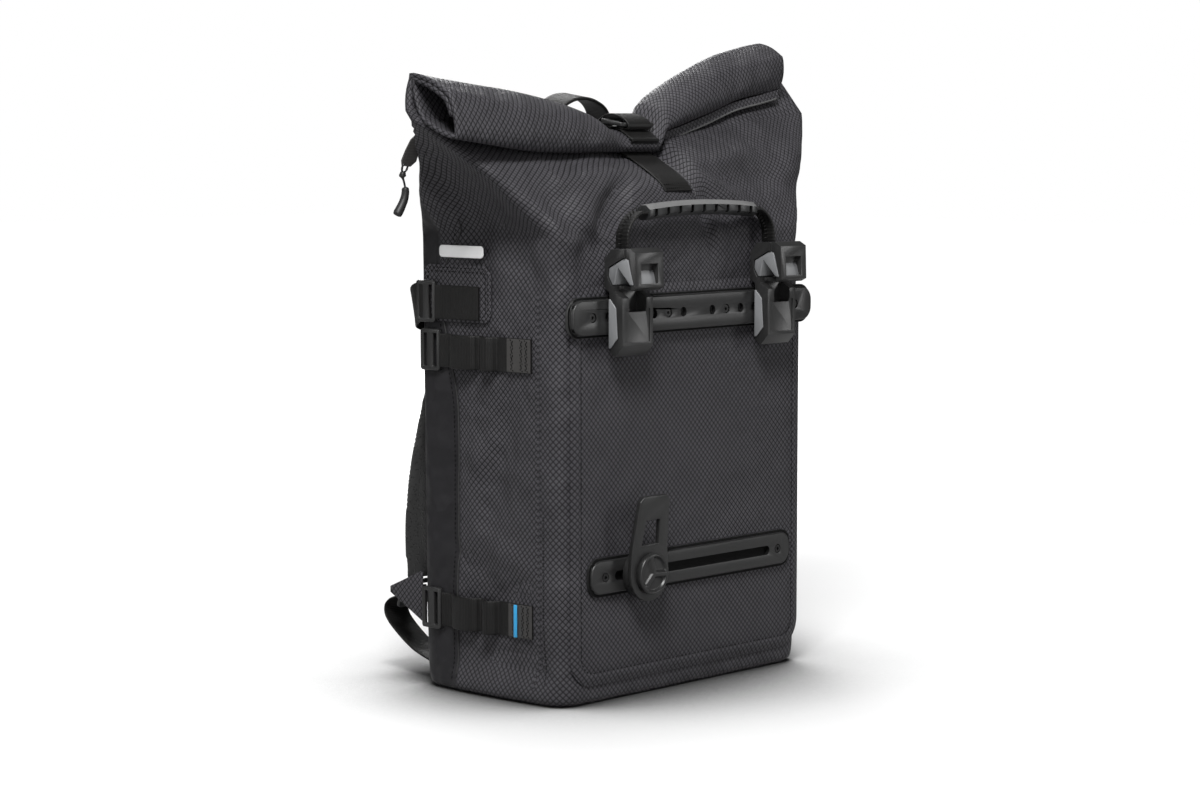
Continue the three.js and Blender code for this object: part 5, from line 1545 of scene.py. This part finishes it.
# hem of the rolled mouth along the lower edge of the right half of the roll
hemSet = {"turn": 288.0, "from": 0.15, "to": 0.985, "drop": 3.2, "wide": 6.5, "thick": 0.9}
hem, bead = [], []
for share in np.linspace(hemSet["from"], hemSet["to"], 36):
    y, z, ny, nz, _ = rollPoint(share, hemSet["turn"])
    x = share * halfFlat * bag["rightEnd"]
    lift = sleeveHalf + hemSet["thick"]
    hem.append((x * mm, (y + ny * lift) * mm, (z + nz * lift - hemSet["drop"]) * mm))
    bead.append((x * mm, (y + ny * (lift + 0.4)) * mm,
                 (z + nz * lift - hemSet["drop"] - hemSet["wide"] / 2) * mm))
band("mouth_hem", hem, (0.1, -0.15, -1.0), hemSet["wide"] * mm, hemSet["thick"] * mm, panelCloth)
tube("mouth_hem_bead", bead, 1.0 * mm, hemCloth)

# the closure strap's loop over its buckle, and webbing wings behind the upper locks
loopRun = [(9.5, 420.5), (4.0, 425.0), (-2.0, 428.0), (-9.0, 428.6), (-16.0, 427.0), (-22.0, 424.2),
           (-25.4, 420.6), (-24.2, 417.8), (-20.0, 417.4)]
band("closure_loop", spline(inPlane(loopRun), 4), (1, 0, 0), 26.0 * mm, 1.5 * mm, strapWeb)
for label, side in bothSides:
    wing = [(side * 140.6, 57.0, 291.0), (side * 140.8, 66.0, 290.0), (side * 139.0, 74.0, 287.5),
            (side * 133.0, 81.5, 284.0), (side * 124.0, 83.5, 281.0), (side * 112.0, 82.0, 279.0)]
    band(f"wing_webbing_{label}", spline(np.array(wing) * mm, 5), (0, 0.22, 1.0), 29.0 * mm,
         webThick * mm, strapWeb)
print("seams, stitches and small webbing made")


# Floor
def makeFloor():
    size = 9.0
    mesh = bpy.data.meshes.new("floor")
    corners = [(-size, -size, 0), (size, -size, 0), (size, size, 0), (-size, size, 0)]
    mesh.from_pydata(corners, [], [(0, 1, 2, 3)])
    p = Paint("floor_paper")
    where = p.place()
    cloudy = p.noise(where, 3.0, 3.0)
    away = p.node("ShaderNodeVectorMath", {"operation": "LENGTH"}, {0: where}, out=1)
    far = p.step(away, lightSet["floorNear"], lightSet["floorFar"])
    seen, hidden = lightSet["floorLevel"], lightSet["floorBounce"]
    # painted contact shadow: ambient occlusion darkens the floor's colour and its glow where the bag stands
    shadowOpenness = p.node("ShaderNodeAmbientOcclusion", {"samples": 16},
                      {"Distance": lightSet["paintedShadowReach"]}, out=1)
    clear = p.step(shadowOpenness, 0.42, 0.99)
    lit = p.blendColour(cloudy, grey(seen), grey(seen * 1.03))
    lifted = p.blendColour(clear, grey(0.0), grey(lightSet["floorLift"]))
    paper = p.node("ShaderNodeBsdfPrincipled", None, {
        "Base Color": p.blendColour(clear, grey(seen * 0.12), lit),
        "Roughness": 0.9,
        "Specular IOR Level": 0.0,
        "Emission Color": p.blendColour(far, lifted, grey(1.0)),
        "Emission Strength": lightSet["floorGlow"],
    })
    dim = p.node("ShaderNodeBsdfDiffuse", None, {"Color": grey(hidden)})
    both = p.node("ShaderNodeMixShader", None, {0: p.node("ShaderNodeLightPath"), 1: dim, 2: paper})
    p.node("ShaderNodeOutputMaterial", None, {"Surface": both})
    mesh.materials.append(p.material)
    floor = bpy.data.objects.new("floor", mesh)
    scene.collection.objects.link(floor)
    floor.location = (0, 0, -0.0004)


makeFloor()
